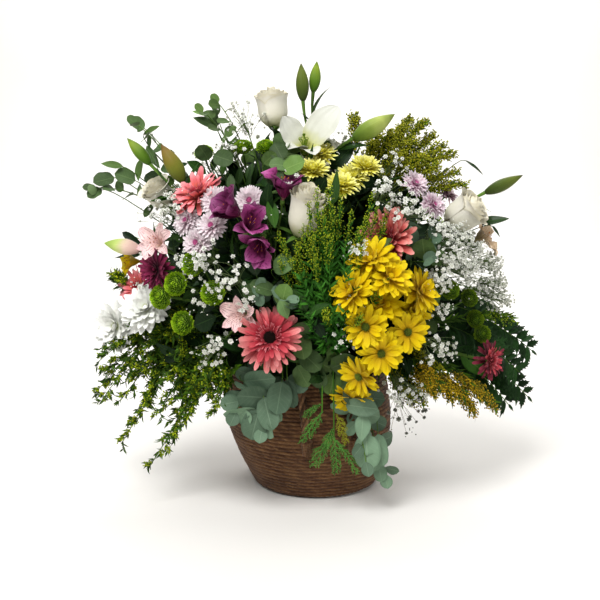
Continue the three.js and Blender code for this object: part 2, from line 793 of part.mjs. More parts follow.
// A stem that tapers a little, in a room that is as much wider as its hole in the foam.
function makeStem(way, radius, sides) {
  const radii = way.map((_, i) => (i < 2 ? radius : radius * (1 - (0.3 * (i - 1)) / way.length)));
  const room = [way[0].clone().lerp(way[1], -0.01), ...way.slice(1)];
  const margin = GAP / Math.cos(Math.PI / sides);
  return makePart(tube(way, radii, sides), true, tube(room, radii.map((wide) => wide + margin), sides));
}

function sideSteps(axis) {
  const across = vec(-axis.y, axis.x, 0).normalize();
  const upright = axis.clone().cross(across).normalize();
  return fan(60, (k) => {
    const reach = 6.6 * Math.sqrt(k);
    const angle = k * GOLDEN_TURN;
    const step = across.clone().multiplyScalar(reach * Math.cos(angle));
    return step.addScaledVector(upright, reach * Math.sin(angle));
  });
}

// Grows a stem to `goal`, bent as far aside as it takes to pass everything else.
function growStem(name, goal, arrival, radius, sides = 4) {
  for (const entry of freeEntries(goal)) {
    for (const sideStep of sideSteps(goal.clone().sub(entry))) {
      const way = stemWay(entry, goal, arrival, sideStep, sides - 1);
      const part = makeStem(way, radius, sides);
      if (isBlocked(name, part)) continue;
      pieces.get(name).parts.push(part);
      entries.push(entry);
      return way;
    }
  }
  throw new Error(`no clear way for the stem of ${name}`);
}

// Where the pedicel of head number `i` leaves the stem: the first at its end, the others further down.
function forkAlong(way, i) {
  return way.at(-1).clone().lerp(way.at(-2), Math.min(0.04 + 0.16 * i, 0.9));
}

// Grows a pedicel from a fork in the same piece to `goal`.
function growPedicel(name, from, goal, arrival, radius) {
  for (const sideStep of sideSteps(goal.clone().sub(from))) {
    const reach = from.distanceTo(goal);
    const before = goal.clone().addScaledVector(arrival, -0.4 * reach).addScaledVector(sideStep, 0.6);
    const bend = new THREE.QuadraticBezierCurve3(from, before, goal);
    const way = sideStep.length() < 1 ? [from, goal] : bend.getPoints(2);
    const part = makePart(tube(way, way.map((_, i) => (i ? radius : radius / 2)), 3));
    if (!isBlocked(name, part)) {
      pieces.get(name).parts.push(part);
      return;
    }
  }
  throw new Error(`no clear way for a pedicel of ${name}`);
}

// One floret on its stalk: a spike out of the hub's face that swells at its end.
function spikeCorners(middle, corners, reach) {
  const direction = corners.reduce((sum, corner) => sum.add(corner), vec(0, 0, 0)).normalize();
  const end = middle.clone().addScaledVector(direction, reach);
  const bulge = corners.map((corner) => {
    const aside = corner.clone().addScaledVector(direction, -corner.dot(direction));
    return aside.setLength(FLORET_RADIUS).add(end);
  });
  return [...bulge, end.addScaledVector(direction, FLORET_RADIUS)];
}

const SPIKE_SIDES = [
  [0, 1, 4], [0, 4, 3], [1, 2, 5], [1, 5, 4], [2, 0, 3], [2, 3, 5],
  [3, 4, 6], [4, 5, 6], [5, 3, 6],
];

// A cloud of eight florets round one hub, each as long as its room allows.
function addCloud(name, middle, random) {
  const spin = new THREE.Euler(6 * random(), 6 * random(), 6 * random());
  const hub = [vec(1, 0, 0), vec(-1, 0, 0), vec(0, 1, 0), vec(0, -1, 0), vec(0, 0, 1), vec(0, 0, -1)];
  hub.forEach((corner) => corner.multiplyScalar(HUB_RADIUS).applyEuler(spin));
  const vertices = hub.map((corner) => corner.clone().add(middle));
  const triangles = [];
  for (let face = 0; face < 8; face += 1) {
    const [x, y, z] = [face & 1, 2 + ((face >> 1) & 1), 4 + ((face >> 2) & 1)];
    const isFlipped = (x + y + z) % 2 === 1;
    const root = isFlipped ? [x, z, y] : [x, y, z];
    const corners = root.map((k) => hub[k]);
    const longest = CLOUD_REACH * (0.7 + 0.6 * random());
    const reach = [1, 0.8, 0.6, 0.4, 0.2].map((share) => share * longest).find((length) => {
      const tips = [...root.map((k) => vertices[k]), ...spikeCorners(middle, corners, length)];
      return !isBlocked(name, makePart(shell(tips, [[0, 2, 1], ...SPIKE_SIDES])));
    }) ?? HUB_RADIUS;
    const first = vertices.length;
    vertices.push(...spikeCorners(middle, corners, reach));
    const numbers = [...root, first, first + 1, first + 2, first + 3];
    triangles.push(...SPIKE_SIDES.map((side) => side.map((k) => numbers[k])));
  }
  add(name, shell(vertices, triangles));
}

// The radii along a bare twig, and along one whose outer part is a plume: thick and thin by turns.
function bareTwig(share) {
  return 1.5 * (share ? 1 - 0.6 * share : 0.4);
}

const plumeTwig = (girth) => (share, i) => {
  if (share < 0.35 || share === 1) return share ? 1.1 : 0.5;
  return i % 2 ? girth * (1.15 - 0.6 * share) : 1.3;
};

// A twig from a fork in the same piece to its tip, bent over by its own weight and clear of the rest.
function growTwig(name, from, tip, steps, radiiChoices = [bareTwig]) {
  const reach = from.distanceTo(tip);
  const middle = from.clone().lerp(tip, 0.5).add(vec(0, 0, 0.22 * reach));
  middle.addScaledVector(outward(middle), 0.1 * reach);
  for (const radiusAt of radiiChoices) {
    for (const sideStep of sideSteps(tip.clone().sub(from))) {
      const way = new THREE.QuadraticBezierCurve3(from, middle.clone().add(sideStep), tip).getPoints(steps);
      const part = makePart(tube(way, way.map((_, i) => radiusAt(i / steps, i)), 3));
      if (!isBlocked(name, part)) {
        pieces.get(name).parts.push(part);
        return way;
      }
    }
  }
  throw new Error(`no clear way for a twig of ${name}`);
}

// Round leaves in turn on both sides of a twig, and one at its tip.
function addRoundLeaves(name, way, { leaf: size, pairs }, random) {
  const line = new THREE.CurvePath();
  way.slice(1).forEach((point, i) => line.add(new THREE.LineCurve3(way[i], point)));
  const last = 2 * pairs;
  for (let i = 0; i <= last; i += 1) {
    const t = 0.4 + (0.56 * i) / last;
    const side = i === last ? 0 : 1 - 2 * (i % 2);
    const root = line.getPoint(t);
    const along = line.getTangent(t);
    for (const share of [1, 0.85, 0.7]) {
      const jitter = vec(random() - 0.5, 0.6 * Math.sign(root.y), random() - 0.5);
      const normal = outward(root).addScaledVector(jitter, 0.8);
      const across = along.clone().cross(normal).normalize();
      const direction = across.multiplyScalar(side * (0.9 + 0.4 * random())).addScaledVector(along, 0.6);
      if (addIfClear(name, aimed(roundLeaf(size * share), root, direction, normal))) break;
    }
  }
}

// A frond from its root to its tip, narrowed or turned as far as its room asks.
function addFrond(name, from, tip, { width, leaflets }) {
  const line = tip.clone().sub(from);
  const root = from.clone().addScaledVector(line.clone().normalize(), -2);
  for (const share of [1, 0.8, 0.6, 0.4]) {
    for (const turn of [0, 0.4, -0.4, 0.9, -0.9]) {
      const normal = outward(root).applyAxisAngle(line.clone().normalize(), turn);
      const shape = frond({ length: line.length(), width: width * share, leaflets, arch: 0.25 });
      if (addIfClear(name, aimed(shape, root, line, normal))) return;
    }
  }
  throw new Error(`no room for a frond of ${name}`);
}

// ---------------------------------------------------------------- basket, handles, liner and foam
function wallRadius(height) {
  if (height < BELLY_HEIGHT) {
    const share = Math.sin((Math.PI / 2) * (height / BELLY_HEIGHT));
    return BASE_EDGE_RADIUS + (BELLY_RADIUS - BASE_EDGE_RADIUS) * share;
  }
  const share = (height - BELLY_HEIGHT) / (RIM_HEIGHT - BELLY_HEIGHT);
  return BELLY_RADIUS - (BELLY_RADIUS - RIM_RADIUS) * share ** 2;
}

function leanAt(height) {
  return (RIM_LEAN * Math.max(0, height)) / RIM_HEIGHT;
}

function leaned(geometry) {
  const { position } = geometry.attributes;
  for (let i = 0; i < position.count; i += 1) position.setX(i, position.getX(i) + leanAt(position.getZ(i)));
  return geometry;
}

function makeBasket() {
  const pitch = (RIM_HEIGHT - 4) / COIL_ROWS;
  const outside = fan(COIL_ROWS, (i) => {
    const bottom = 4 + i * pitch;
    const groove = [wallRadius(bottom) - (i ? COIL_RELIEF : 2), bottom];
    return [groove, [wallRadius(bottom + pitch / 2) + (i ? 0 : 1), bottom + pitch / 2]];
  }).flat();
  const inside = INNER_HEIGHTS.map((height) => [wallRadius(height) - WALL, height]);
  const rim = [[wallRadius(RIM_HEIGHT) - COIL_RELIEF, RIM_HEIGHT - 1]];
  const profile = [[0, 0], [BASE_RADIUS, 0], ...outside, ...rim, ...inside, [0, FLOOR]];
  add('basket', leaned(turned(profile, BASKET_SIDES)));
}

function makeLiner() {
  const bottom = FLOOR + GAP;
  const heights = [bottom, ...INNER_HEIGHTS.slice(1, -1).reverse(), RIM_HEIGHT - LINER_DROP];
  const outside = heights.map((height) => [wallRadius(height) - LINER_INSET, height]);
  const inside = outside.map(([radius, height]) => [radius - LINER, Math.max(height, bottom + LINER)]);
  const profile = [[0, bottom], ...outside, ...inside.reverse(), [0, bottom + LINER]];
  add('liner', leaned(turned(profile, BASKET_SIDES)));
}

function makeFoam() {
  const bottom = FLOOR + GAP + LINER + GAP;
  const heights = [bottom, ...INNER_HEIGHTS.slice(1, -1).reverse(), RIM_HEIGHT - LINER_DROP];
  const outside = heights.map((height) => [wallRadius(height) - FOAM_INSET, height]);
  const top = wallRadius(RIM_HEIGHT) - FOAM_INSET;
  const shoulder = [[top, FOAM_TOP - FOAM_SHOULDER], [top - FOAM_SHOULDER * 0.7, FOAM_TOP]];
  add('foam', leaned(turned([[0, bottom], ...outside, ...shoulder, [0, FOAM_TOP]], FOAM_SIDES)));
}

// A rope handle: two legs up the outside of the wall and a bow over them, twisted, with wrapped feet.
function makeHandle(name, azimuth) {
  const stand = (height) => wallRadius(Math.min(height, RIM_HEIGHT)) + ROPE_RADIUS - GAP;
  const onWall = (side, height, away = 0) => {
    const angle = THREE.MathUtils.degToRad(azimuth + side * HANDLE_SPREAD);
    const reach = stand(height) + away;
    return vec(reach * Math.sin(angle) + leanAt(height), -reach * Math.cos(angle), height);
  };
  const leg = [HANDLE_FOOT, 120, 155, RIM_HEIGHT];
  const points = [
    ...leg.map((height) => onWall(-1, height)),
    onWall(-0.7, HANDLE_TOP - 6), onWall(0, HANDLE_TOP), onWall(0.7, HANDLE_TOP - 6),
    ...leg.map((height) => onWall(1, height)).reverse(),
  ];
  const curve = new THREE.CatmullRomCurve3(points);
  const frames = curve.computeFrenetFrames(ROPE_STEPS, false);
  const sides = ROPE_SIDES;
  const vertices = [];
  for (let i = 0; i <= ROPE_STEPS; i += 1) {
    const middle = curve.getPointAt(i / ROPE_STEPS);
    const twist = (Math.PI * ROPE_TURNS * i) / ROPE_STEPS;
    for (let k = 0; k < sides; k += 1) {
      const angle = (2 * Math.PI * k) / sides;
      const reach = ROPE_RADIUS * (1 - ROPE_LOBE + ROPE_LOBE * Math.cos(2 * (angle - twist)));
      const corner = middle.clone().addScaledVector(frames.normals[i], reach * Math.cos(angle));
      vertices.push(corner.addScaledVector(frames.binormals[i], reach * Math.sin(angle)));
    }
  }
  const triangles = [];
  for (let i = 0; i < ROPE_STEPS; i += 1) {
    for (let k = 0; k < sides; k += 1) {
      const [a, b] = [i * sides + k, i * sides + ((k + 1) % sides)];
      triangles.push([a, b, b + sides], [a, b + sides, a + sides]);
    }
  }
  const last = ROPE_STEPS * sides;
  for (let k = 1; k + 1 < sides; k += 1) triangles.push([0, k + 1, k], [last, last + k, last + k + 1]);
  add(name, shell(vertices, triangles));
  for (const side of [-1, 1]) {
    const away = WRAP_RADIUS - ROPE_RADIUS;
    const from = onWall(side, HANDLE_FOOT - 3, away);
    const to = onWall(side, HANDLE_FOOT + WRAP_HEIGHT, away);
    add(name, tube([from, to], [WRAP_RADIUS, WRAP_RADIUS], 6));
  }
}

// ---------------------------------------------------------------- grow everything
startPiece('basket', COLOURS.seagrass, 0.9);
makeBasket();
startPiece('liner', COLOURS.liner, 0.5);
makeLiner();
startPiece('foam', COLOURS.foam, 0.95);
makeFoam();
startPiece('handle_front', COLOURS.rope, 0.9);
makeHandle('handle_front', HANDLE_FRONT_AZIMUTH);
startPiece('handle_back', COLOURS.rope, 0.9);
makeHandle('handle_back', HANDLE_BACK_AZIMUTH);

for (const [name, flower] of Object.entries(ROSES)) {
  startPiece(name, COLOURS.cream, 0.6);
  add(name, placed(rose(flower), flower.at, flower.facing));
}
for (const [name, flower] of Object.entries(GERBERAS)) {
  startPiece(name, COLOURS[flower.colour], 0.6);
  add(name, placed(gerbera(flower), flower.at, flower.facing));
}
startPiece('lily_flower', COLOURS.white, 0.5);
lilyHead(LILY).forEach((part) => add('lily_flower', placed(part, LILY.at, LILY.facing)));
for (const [name, buds] of Object.entries(LILY_BUDS)) {
  startPiece(name, COLOURS.budGreen, 0.5);
  buds.forEach((one) => add(name, bud(one)));
}
const headFacing = (head, random) => {
  const jitter = vec(random() - 0.5, random() - 0.5, random() - 0.5).multiplyScalar(0.16);
  return outward(head).add(vec(0, head.y < 0 ? -0.35 : 0.35, 0.15)).add(jitter).normalize();
};
for (const [name, spray] of Object.entries(SPRAYS)) {
  const random = seededRandom(seedOf(name));
  startPiece(name, COLOURS[spray.colour], 0.65);
  spray.facings = spray.heads.map((head) => headFacing(head, random));
  spray.heads.forEach((head, i) => {
    const spin = 2 * Math.PI * random();
    add(name, placed(spray.kind(spray), head, spray.facings[i], spin));
  });
}

// Stems of the single flowers, then of the sprays.
for (const [name, flower] of [...Object.entries(ROSES), ...Object.entries(GERBERAS)]) {
  const facing = flower.facing.clone().normalize();
  const neck = flower.height ? flower.height / 2 + 2 : 5;
  growStem(name, flower.at.clone().addScaledVector(facing, -neck), facing, ROSE_STEM);
}
const lilyFacing = LILY.facing.clone().normalize();
growStem('lily_flower', LILY.at.clone().addScaledVector(lilyFacing, -7), lilyFacing, LILY_STEM);
const budFacing = ({ tip, base }) => tip.clone().sub(base).normalize();
for (const [name, buds] of Object.entries(LILY_BUDS)) {
  const middle = middleOf(buds.map((one) => one.base));
  if (buds.length === 1) {
    growStem(name, buds[0].base, budFacing(buds[0]), BUD_STEM);
    continue;
  }
  const fork = middle.clone().lerp(STEM_HEART.clone().setZ(FOAM_TOP), 0.3);
  const way = growStem(name, fork, middle.clone().sub(fork).normalize(), ROSE_STEM);
  buds.forEach((one, i) => growPedicel(name, forkAlong(way, i), one.base, budFacing(one), BUD_PEDICEL));
}
for (const [name, spray] of Object.entries(SPRAYS)) {
  const neck = spray.kind === pompon ? 0.4 * spray.diameter : 3;
  const neckOf = (i) => spray.heads[i].clone().addScaledVector(spray.facings[i], -neck);
  if (spray.heads.length === 1) {
    growStem(name, neckOf(0), spray.facings[0], SINGLE_STEM);
    continue;
  }
  const middle = middleOf(spray.heads);
  const fork = middle.clone().lerp(STEM_HEART.clone().setZ(FOAM_TOP), 0.38);
  const way = growStem(name, fork, middle.clone().sub(fork).normalize(), SPRAY_STEM, 3);
  spray.heads.forEach((_, i) => growPedicel(name, forkAlong(way, i), neckOf(i), spray.facings[i], PEDICEL));
}

// The same place, or the nearest one beyond the rim and above it.
function overRim(point) {
  const away = point.clone().setZ(0).sub(vec(RIM_LEAN, 0, 0));
  away.setLength(Math.max(away.length(), RIM_REACH));
  return vec(RIM_LEAN, 0, Math.max(point.z, HANDLE_TOP + 12)).add(away);
}

// Branched greenery: one stem into the foam, a fork clear of the foam, and a twig to each tip.
function growBranches(name, tips, share, grow) {
  const middle = middleOf(tips);
  const fork = middle.clone().lerp(STEM_HEART.clone().setZ(FOAM_TOP + 30), share);
  fork.z = Math.max(fork.z, FOAM_TOP + 16);
  const arrival = middle.clone().sub(fork).setZ(Math.max(middle.z - fork.z, 0)).normalize();
  const way = growStem(name, fork, arrival, TWIG_STEM, 3);
  tips.forEach((tip, i) => grow(forkAlong(way, i), tip));
}

for (const [name, branch] of Object.entries(FRONDS)) {
  startPiece(name, COLOURS[branch.colour], 0.65);
  growBranches(name, branch.tips, 0.55, (from, tip) => {
    const root = overRim(from.clone().lerp(tip, 0.36).add(vec(0, 0, 0.12 * from.distanceTo(tip))));
    growTwig(name, from, root, 2);
    addFrond(name, root, tip, branch);
  });
}
for (const [name, branch] of Object.entries(EUCALYPTUS)) {
  const random = seededRandom(seedOf(name));
  startPiece(name, COLOURS.eucalyptus, 0.6);
  growBranches(name, branch.tips, 0.55, (from, tip) => {
    addRoundLeaves(name, growTwig(name, from, tip, 3), branch, random);
  });
}
for (const [name, branch] of Object.entries(PLUMES)) {
  startPiece(name, COLOURS[branch.colour], 0.7);
  growBranches(name, branch.tips, 0.5, (from, tip) => {
    growTwig(name, from, tip, PLUME_STEPS, PLUME_GIRTHS.map(plumeTwig));
  });
}
for (const [name, clouds] of Object.entries(GYPSOPHILA)) {
  const random = seededRandom(seedOf(name));
  startPiece(name, COLOURS.gypsophila, 0.7);
  growBranches(name, clouds, 0.35, (from, middle) => {
    growTwig(name, from, middle, 2);
    addCloud(name, middle, random);
  });
}

// ---------------------------------------------------------------- join, cut clear and export
const order = [...pieces.keys()];
const flowerBasket = new THREE.Group();
flowerBasket.name = 'flower_basket';

function cutClear(name) {
  const before = order.slice(0, order.indexOf(name)).filter((other) => other !== 'foam');
  const parts = before.flatMap((other) => pieces.get(other).parts);
  return pieces.get(name).parts.map((part) => {
    const near = parts.filter((other) => boxesMeet(other.box, part.box));
    const touching = near.filter((other) => !other.guard.intersect(part.solid).isEmpty());
    return touching.reduce((solid, other) => solid.subtract(other.guard).subtract(other.solid), part.solid);
  });
}

function largestBody(solid) {
  const bodies = solid.decompose();
  const volumes = bodies.map((body) => body.volume());
  return bodies[volumes.indexOf(Math.max(...volumes))];
}

for (const name of order) {
  const { colour, roughness } = pieces.get(name);
  let solid = wasm.Manifold.union(cutClear(name));
  if (name === 'foam') {
    const stems = [...pieces.values()].flatMap((piece) => piece.parts.filter((part) => part.isStem));
    solid = solid.subtract(wasm.Manifold.union(stems.map((part) => part.guard)));
  }
  solid = largestBody(solid);
  const material = new THREE.MeshStandardMaterial({ color: colour, roughness, metalness: 0 });
  const mesh = new THREE.Mesh(geometryOf(solid), material);
  mesh.name = name;
  flowerBasket.add(mesh);
}

export default flowerBasket;
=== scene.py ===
import functools
import json
import math
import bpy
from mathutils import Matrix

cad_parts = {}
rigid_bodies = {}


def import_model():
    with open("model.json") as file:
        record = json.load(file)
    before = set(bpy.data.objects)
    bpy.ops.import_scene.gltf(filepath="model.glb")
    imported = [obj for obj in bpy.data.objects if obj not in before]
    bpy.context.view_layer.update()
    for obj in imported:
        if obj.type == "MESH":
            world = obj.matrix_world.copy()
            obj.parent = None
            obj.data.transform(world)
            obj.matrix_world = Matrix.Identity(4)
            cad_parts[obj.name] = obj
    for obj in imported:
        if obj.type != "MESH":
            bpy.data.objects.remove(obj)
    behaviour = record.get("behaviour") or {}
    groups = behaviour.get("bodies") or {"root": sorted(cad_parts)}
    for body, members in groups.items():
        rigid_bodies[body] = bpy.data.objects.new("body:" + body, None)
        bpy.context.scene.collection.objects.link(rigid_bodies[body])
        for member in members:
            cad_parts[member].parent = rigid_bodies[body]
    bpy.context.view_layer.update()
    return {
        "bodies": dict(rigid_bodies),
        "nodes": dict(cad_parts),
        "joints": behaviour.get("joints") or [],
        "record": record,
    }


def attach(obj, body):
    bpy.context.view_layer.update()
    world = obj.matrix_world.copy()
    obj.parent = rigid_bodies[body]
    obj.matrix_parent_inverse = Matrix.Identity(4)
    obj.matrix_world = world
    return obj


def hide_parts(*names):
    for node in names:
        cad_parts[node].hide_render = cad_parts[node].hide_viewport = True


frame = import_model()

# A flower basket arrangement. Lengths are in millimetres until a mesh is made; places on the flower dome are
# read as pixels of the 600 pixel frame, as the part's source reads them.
import zlib

import bpy
import numpy as np
from mathutils import Vector

MM = 0.001
GOLDEN = math.pi * (3 - math.sqrt(5))
LEAF_TURN = 2.4  # how far each leaf is turned round its stalk from the one before
FLAT = np.array([1, 1, 0])  # takes the height off a point

# ---------------------------------------------------------------- driving dimensions, mm
BASE_RADIUS, BASE_EDGE_RADIUS, BELLY_RADIUS, RIM_RADIUS = 82, 93, 127, 124
BELLY_HEIGHT, RIM_HEIGHT, RIM_LEAN = 122, 188, -20
WALL, FLOOR_TOP, COIL_PITCH, COIL_TWIST = 7, 8.0, 6.0, 15.0
FOAM_TOP, FOAM_FOOT, FOAM_GAP, FOAM_ROUNDING = 214, 9.5, 11.8, 12
ROPE_RADIUS, STRAND_REACH, STRAND_RADIUS, ROPE_TURNS = 6.2, 3.35, 2.8, 9
HANDLE_FOOT, HANDLE_TOP, HANDLE_SPREAD = 84, 207, math.radians(15)
WRAP_RADIUS, WRAP_FOOT, WRAP_TOP, WRAP_TURNS = 6.9, 81, 101, 8
STEM_HEART = np.array([-18.0, 0, -60])  # the stems point at it from inside the foam
STEM_ENTRY = np.array([-18.0, 0, FOAM_TOP])  # the middle of the foam's top
GATHERING = np.array([-18.0, 0, 244])  # where the twigs of a branch would meet
LOWEST_FORK, RIM_CLEARANCE, RIM_WAY = 230, 148, 219  # what keeps branches off the basket's rim
FRONT_UNTIL = 40  # leaves nearer than this look forward, and those behind it look back
DOME_CENTRE = np.array([-20.0, 0, 315])
DOME_AXES = np.array([250.0, 185, 228])

LOOK_AT = np.array([-25.0, 0, 285])
EYE_DISTANCE, EYE_RISE = 1500, math.radians(9)
FOCAL_PIXELS, FRAME_MIDDLE, FRAME_SIDE, SENSOR = 975, 300, 600, 36


# ---------------------------------------------------------------- places
def eye_and_ray(u, v):
    forward = np.array([0, math.cos(EYE_RISE), -math.sin(EYE_RISE)])
    up = np.array([0, math.sin(EYE_RISE), math.cos(EYE_RISE)])
    eye = LOOK_AT - EYE_DISTANCE * forward
    right = np.array([1.0, 0, 0])
    ray = forward + right * (u - FRAME_MIDDLE) / FOCAL_PIXELS + up * (FRAME_MIDDLE - v) / FOCAL_PIXELS
    return eye, ray


def seen(u, v, front):
    """The point seen at pixel (u, v) that stands `front` mm before the basket's axis."""
    eye, ray = eye_and_ray(u, v)
    return eye + ray * ((-front - eye[1]) / ray[1])


def on_dome(u, v, lift=0.0):
    """The point seen at pixel (u, v) on the dome, lifted outward; past its outline, the nearest one."""
    eye, ray = eye_and_ray(u, v)
    axes = DOME_AXES + lift
    start, step = (eye - DOME_CENTRE) / axes, ray / axes
    half = start @ step / (step @ step)
    inside = half * half - (start @ start - 1) / (step @ step)
    return eye + ray * (-half - math.sqrt(max(inside, 0)))


def around(azimuth, elevation, lift=0.0):
    """A point on the dome by azimuth (0 at the front, 90 at the right) and elevation in degrees."""
    a, e = math.radians(azimuth), math.radians(elevation)
    way = np.array([math.sin(a) * math.cos(e), -math.cos(a) * math.cos(e), math.sin(e)])
    return DOME_CENTRE + way * (DOME_AXES + lift)


def unit(v):
    v = np.asarray(v, float)
    return v / np.linalg.norm(v, axis=-1, keepdims=True)


def outward(p):
    return unit((np.asarray(p, float) - DOME_CENTRE) / DOME_AXES)


def toward(p, tilt=0.8):
    """Between the dome's outward direction and the nearer side, front or back: how leaves turn to the light."""
    return unit(outward(p) + tilt * np.array([0, -1 if p[1] < FRONT_UNTIL else 1, 0.35]))


def pictured(u, v, lift):
    """The point at a pixel: lifted off the dome, or, with a lift over 100, that far before the basket's axis."""
    return seen(u, v, lift) if lift > 100 else on_dome(u, v, lift)


def along_way(way, t):
    """The point at share t of a way, and the direction of the way there."""
    x = t * (len(way) - 1)
    at = np.array([np.interp(x, range(len(way)), way[:, c]) for c in range(3)])
    k = int(min(x, len(way) - 2))
    return at, unit(way[k + 1] - way[k])


def aside(along, k, rise, step=LEAF_TURN):
    """The way off a stalk of its k-th leaf, which turns from leaf to leaf."""
    return np.cross(along, [math.cos(k * step), math.sin(k * step), rise])


def draws(name):
    """A piece's own random draws, the same in every run."""
    return np.random.default_rng(zlib.crc32(name.encode()))


# ---------------------------------------------------------------- matrices, one or many at a time
def eyes(n):
    return np.tile(np.eye(4), (n, 1, 1))


def turn(axis, angle):
    angle = np.atleast_1d(np.asarray(angle, float))
    m = eyes(len(angle))
    i, j = {"x": (1, 2), "y": (2, 0), "z": (0, 1)}[axis]
    m[:, i, i] = m[:, j, j] = np.cos(angle)
    m[:, i, j], m[:, j, i] = -np.sin(angle), np.sin(angle)
    return m


def shift(x, y, z):
    x, y, z = np.broadcast_arrays(*(np.atleast_1d(np.asarray(c, float)) for c in (x, y, z)))
    m = eyes(len(x))
    m[:, 0, 3], m[:, 1, 3], m[:, 2, 3] = x, y, z
    return m


def size(s):
    s = np.atleast_1d(np.asarray(s, float))
    m = eyes(len(s))
    m[:, 0, 0] = m[:, 1, 1] = m[:, 2, 2] = s
    return m


def stand(at, facing, spin=0.0):
    """The frame whose +Z points along `facing`."""
    z = unit(facing)
    x = unit(np.cross([0.3, 1, 0.1] if abs(z[1]) < 0.9 else [1, 0, 0.1], z))
    m = np.eye(4)
    m[:3, 0], m[:3, 1], m[:3, 2], m[:3, 3] = x, np.cross(z, x), z, at
    return m @ turn("z", spin)[0]


def lay(at, along, normal):
    """Frames whose +X points along `along` and whose +Z is as near to `normal` as it can be."""
    at, along, normal = (np.atleast_2d(np.asarray(a, float)) for a in (at, along, normal))
    x = unit(along)
    z = unit(normal - np.sum(normal * x, 1, keepdims=True) * x)
    m = np.zeros((max(len(at), len(x), len(z)), 4, 4))
    m[:, :3, 0], m[:, :3, 1], m[:, :3, 2], m[:, :3, 3] = x, np.cross(z, x), z, at
    m[:, 3, 3] = 1
    return m


# ---------------------------------------------------------------- shapes: vertices, faces, along, across
def rounded(t, foot, slope, end, span, power):
    """Half the width of a strap that widens from its foot and ends in a round tip."""
    return np.minimum(1, foot + slope * t) * np.sqrt(np.clip(1 - ((t - end) / span).clip(0) ** power, 0, 1))


OUTLINES = {
    "strap": lambda t: rounded(t, 0.45, 1.6, 0.7, 0.31, 2),
    "ray": lambda t: rounded(t, 0.4, 1.5, 0.8, 0.21, 2.6),
    "oval": lambda t: np.sin(np.pi * t**0.85) ** 0.8,
    "lance": lambda t: np.sin(np.pi * t**0.62) ** 1.1,
    "round": lambda t: np.sqrt(np.clip(1 - (2 * t - 1) ** 2, 0, 1)) ** 0.9,
    "petal": lambda t: np.sin(np.pi * t**1.45) ** 0.65,
    "broad": lambda t: np.sin(np.pi * t**1.15) ** 0.55,
}


def sheet(rows, cols):
    """A grid over a petal: how far along and across each point is, and the faces."""
    i, j = np.meshgrid(np.arange(rows), np.arange(cols), indexing="ij")
    a = (i * (cols + 1) + j).ravel()
    faces = np.stack([a, a + cols + 1, a + cols + 2, a + 1], 1)
    return np.linspace(0, 1, rows + 1)[:, None], np.linspace(-1, 1, cols + 1)[None, :], faces


def ring_faces(rings, sides):
    i, k = np.meshgrid(np.arange(rings - 1), np.arange(sides), indexing="ij")
    a, b = (i * sides + k).ravel(), (i * sides + (k + 1) % sides).ravel()
    return np.stack([a, b, b + sides, a + sides], 1)


def blade(length, width, outline="oval", lift=0.0, curl=0.0, cup=0.0, fold=0.0, wave=0.0, waves=3, rows=6,
        cols=2):
    """A petal or leaf along +X with its upper face toward +Z."""
    t, s, faces = sheet(rows, cols)
    half = np.maximum(OUTLINES[outline](t), 0.05) * width / 2
    angle = lift + curl * t
    middle = (angle[1:] + angle[:-1]) / 2
    x, z = (np.vstack([[[0]], np.cumsum(part(middle), 0)]) * length / rows for part in (np.cos, np.sin))
    off = half * (cup * s**2 + fold * abs(s) + wave * abs(s) * np.sin(2 * np.pi * waves * t + 1.7 * (s > 0)))
    verts = np.stack([x - off * np.sin(angle), s * half + 0 * t, z + off * np.cos(angle)], -1)
    return verts.reshape(-1, 3), faces, (t + 0 * s).ravel(), (s + 0 * t).ravel()


def turned(outline, sides, lobes=0, lobe=0.0):
    """A closed round shape about +Z from [radius, height] pairs whose first and last radius are about 0."""
    r, z = np.array(outline, float).T
    a = np.arange(sides) * 2 * np.pi / sides
    rr = r[:, None] * (1 + lobe * np.cos(lobes * a)[None, :])
    verts = np.stack([rr * np.cos(a), rr * np.sin(a), z[:, None] + 0 * a], -1).reshape(-1, 3)
    along = np.repeat(np.linspace(0, 1, len(r)), sides)
    return verts, ring_faces(len(r), sides), along, np.tile(np.cos(lobes * a) if lobes else 0 * a, len(r))


def tube(points, radii, sides=5):
    """A tube through the points; along runs from 0 to 1 and across round it."""
    points = np.asarray(points, float)
    radii = np.broadcast_to(np.asarray(radii, float), (len(points),))
    tangent = unit(np.gradient(points, axis=0))
    normal = unit(np.cross(tangent[0], [0.31, 0.17, 0.93] if abs(tangent[0][2]) < 0.9 else [1, 0.2, 0]))
    a = np.arange(sides)[:, None] * 2 * np.pi / sides
    rings = []
    for p, d, r in zip(points, tangent, radii):
        normal = unit(normal - (normal @ d) * d)
        rings.append(p + r * (np.cos(a) * normal + np.sin(a) * np.cross(d, normal)))
    along, across = np.linspace(0, 1, len(points)), np.linspace(-1, 1, sides)
    return np.vstack(rings), ring_faces(len(points), sides), np.repeat(along, sides), np.tile(across,
        len(points))


def bezier(a, b, c, d=None, steps=8):
    t = np.linspace(0, 1, steps + 1)[:, None]
    a, b, c = (np.asarray(p, float) for p in (a, b, c))
    if d is None:
        return (1 - t) ** 2 * a + 2 * t * (1 - t) * b + t**2 * c
    return (1 - t) ** 3 * a + 3 * t * (1 - t) ** 2 * b + 3 * t**2 * (1 - t) * c + t**3 * np.asarray(d, float)


def grain(length, width):
    """A small bud: a long eight-sided crystal along +Z."""
    w, h = width / 2, length * 0.5
    verts = np.array([[0, 0, 0], [w, 0, h], [0, w, h], [-w, 0, h], [0, -w, h], [0, 0, length]])
    faces = np.array([[0, 2, 1], [0, 3, 2], [0, 4, 3], [0, 1, 4], [5, 1, 2], [5, 2, 3], [5, 3, 4], [5, 4, 1]])
    return verts, faces, np.array([0, 0.5, 0.5, 0.5, 0.5, 1]), np.zeros(6)


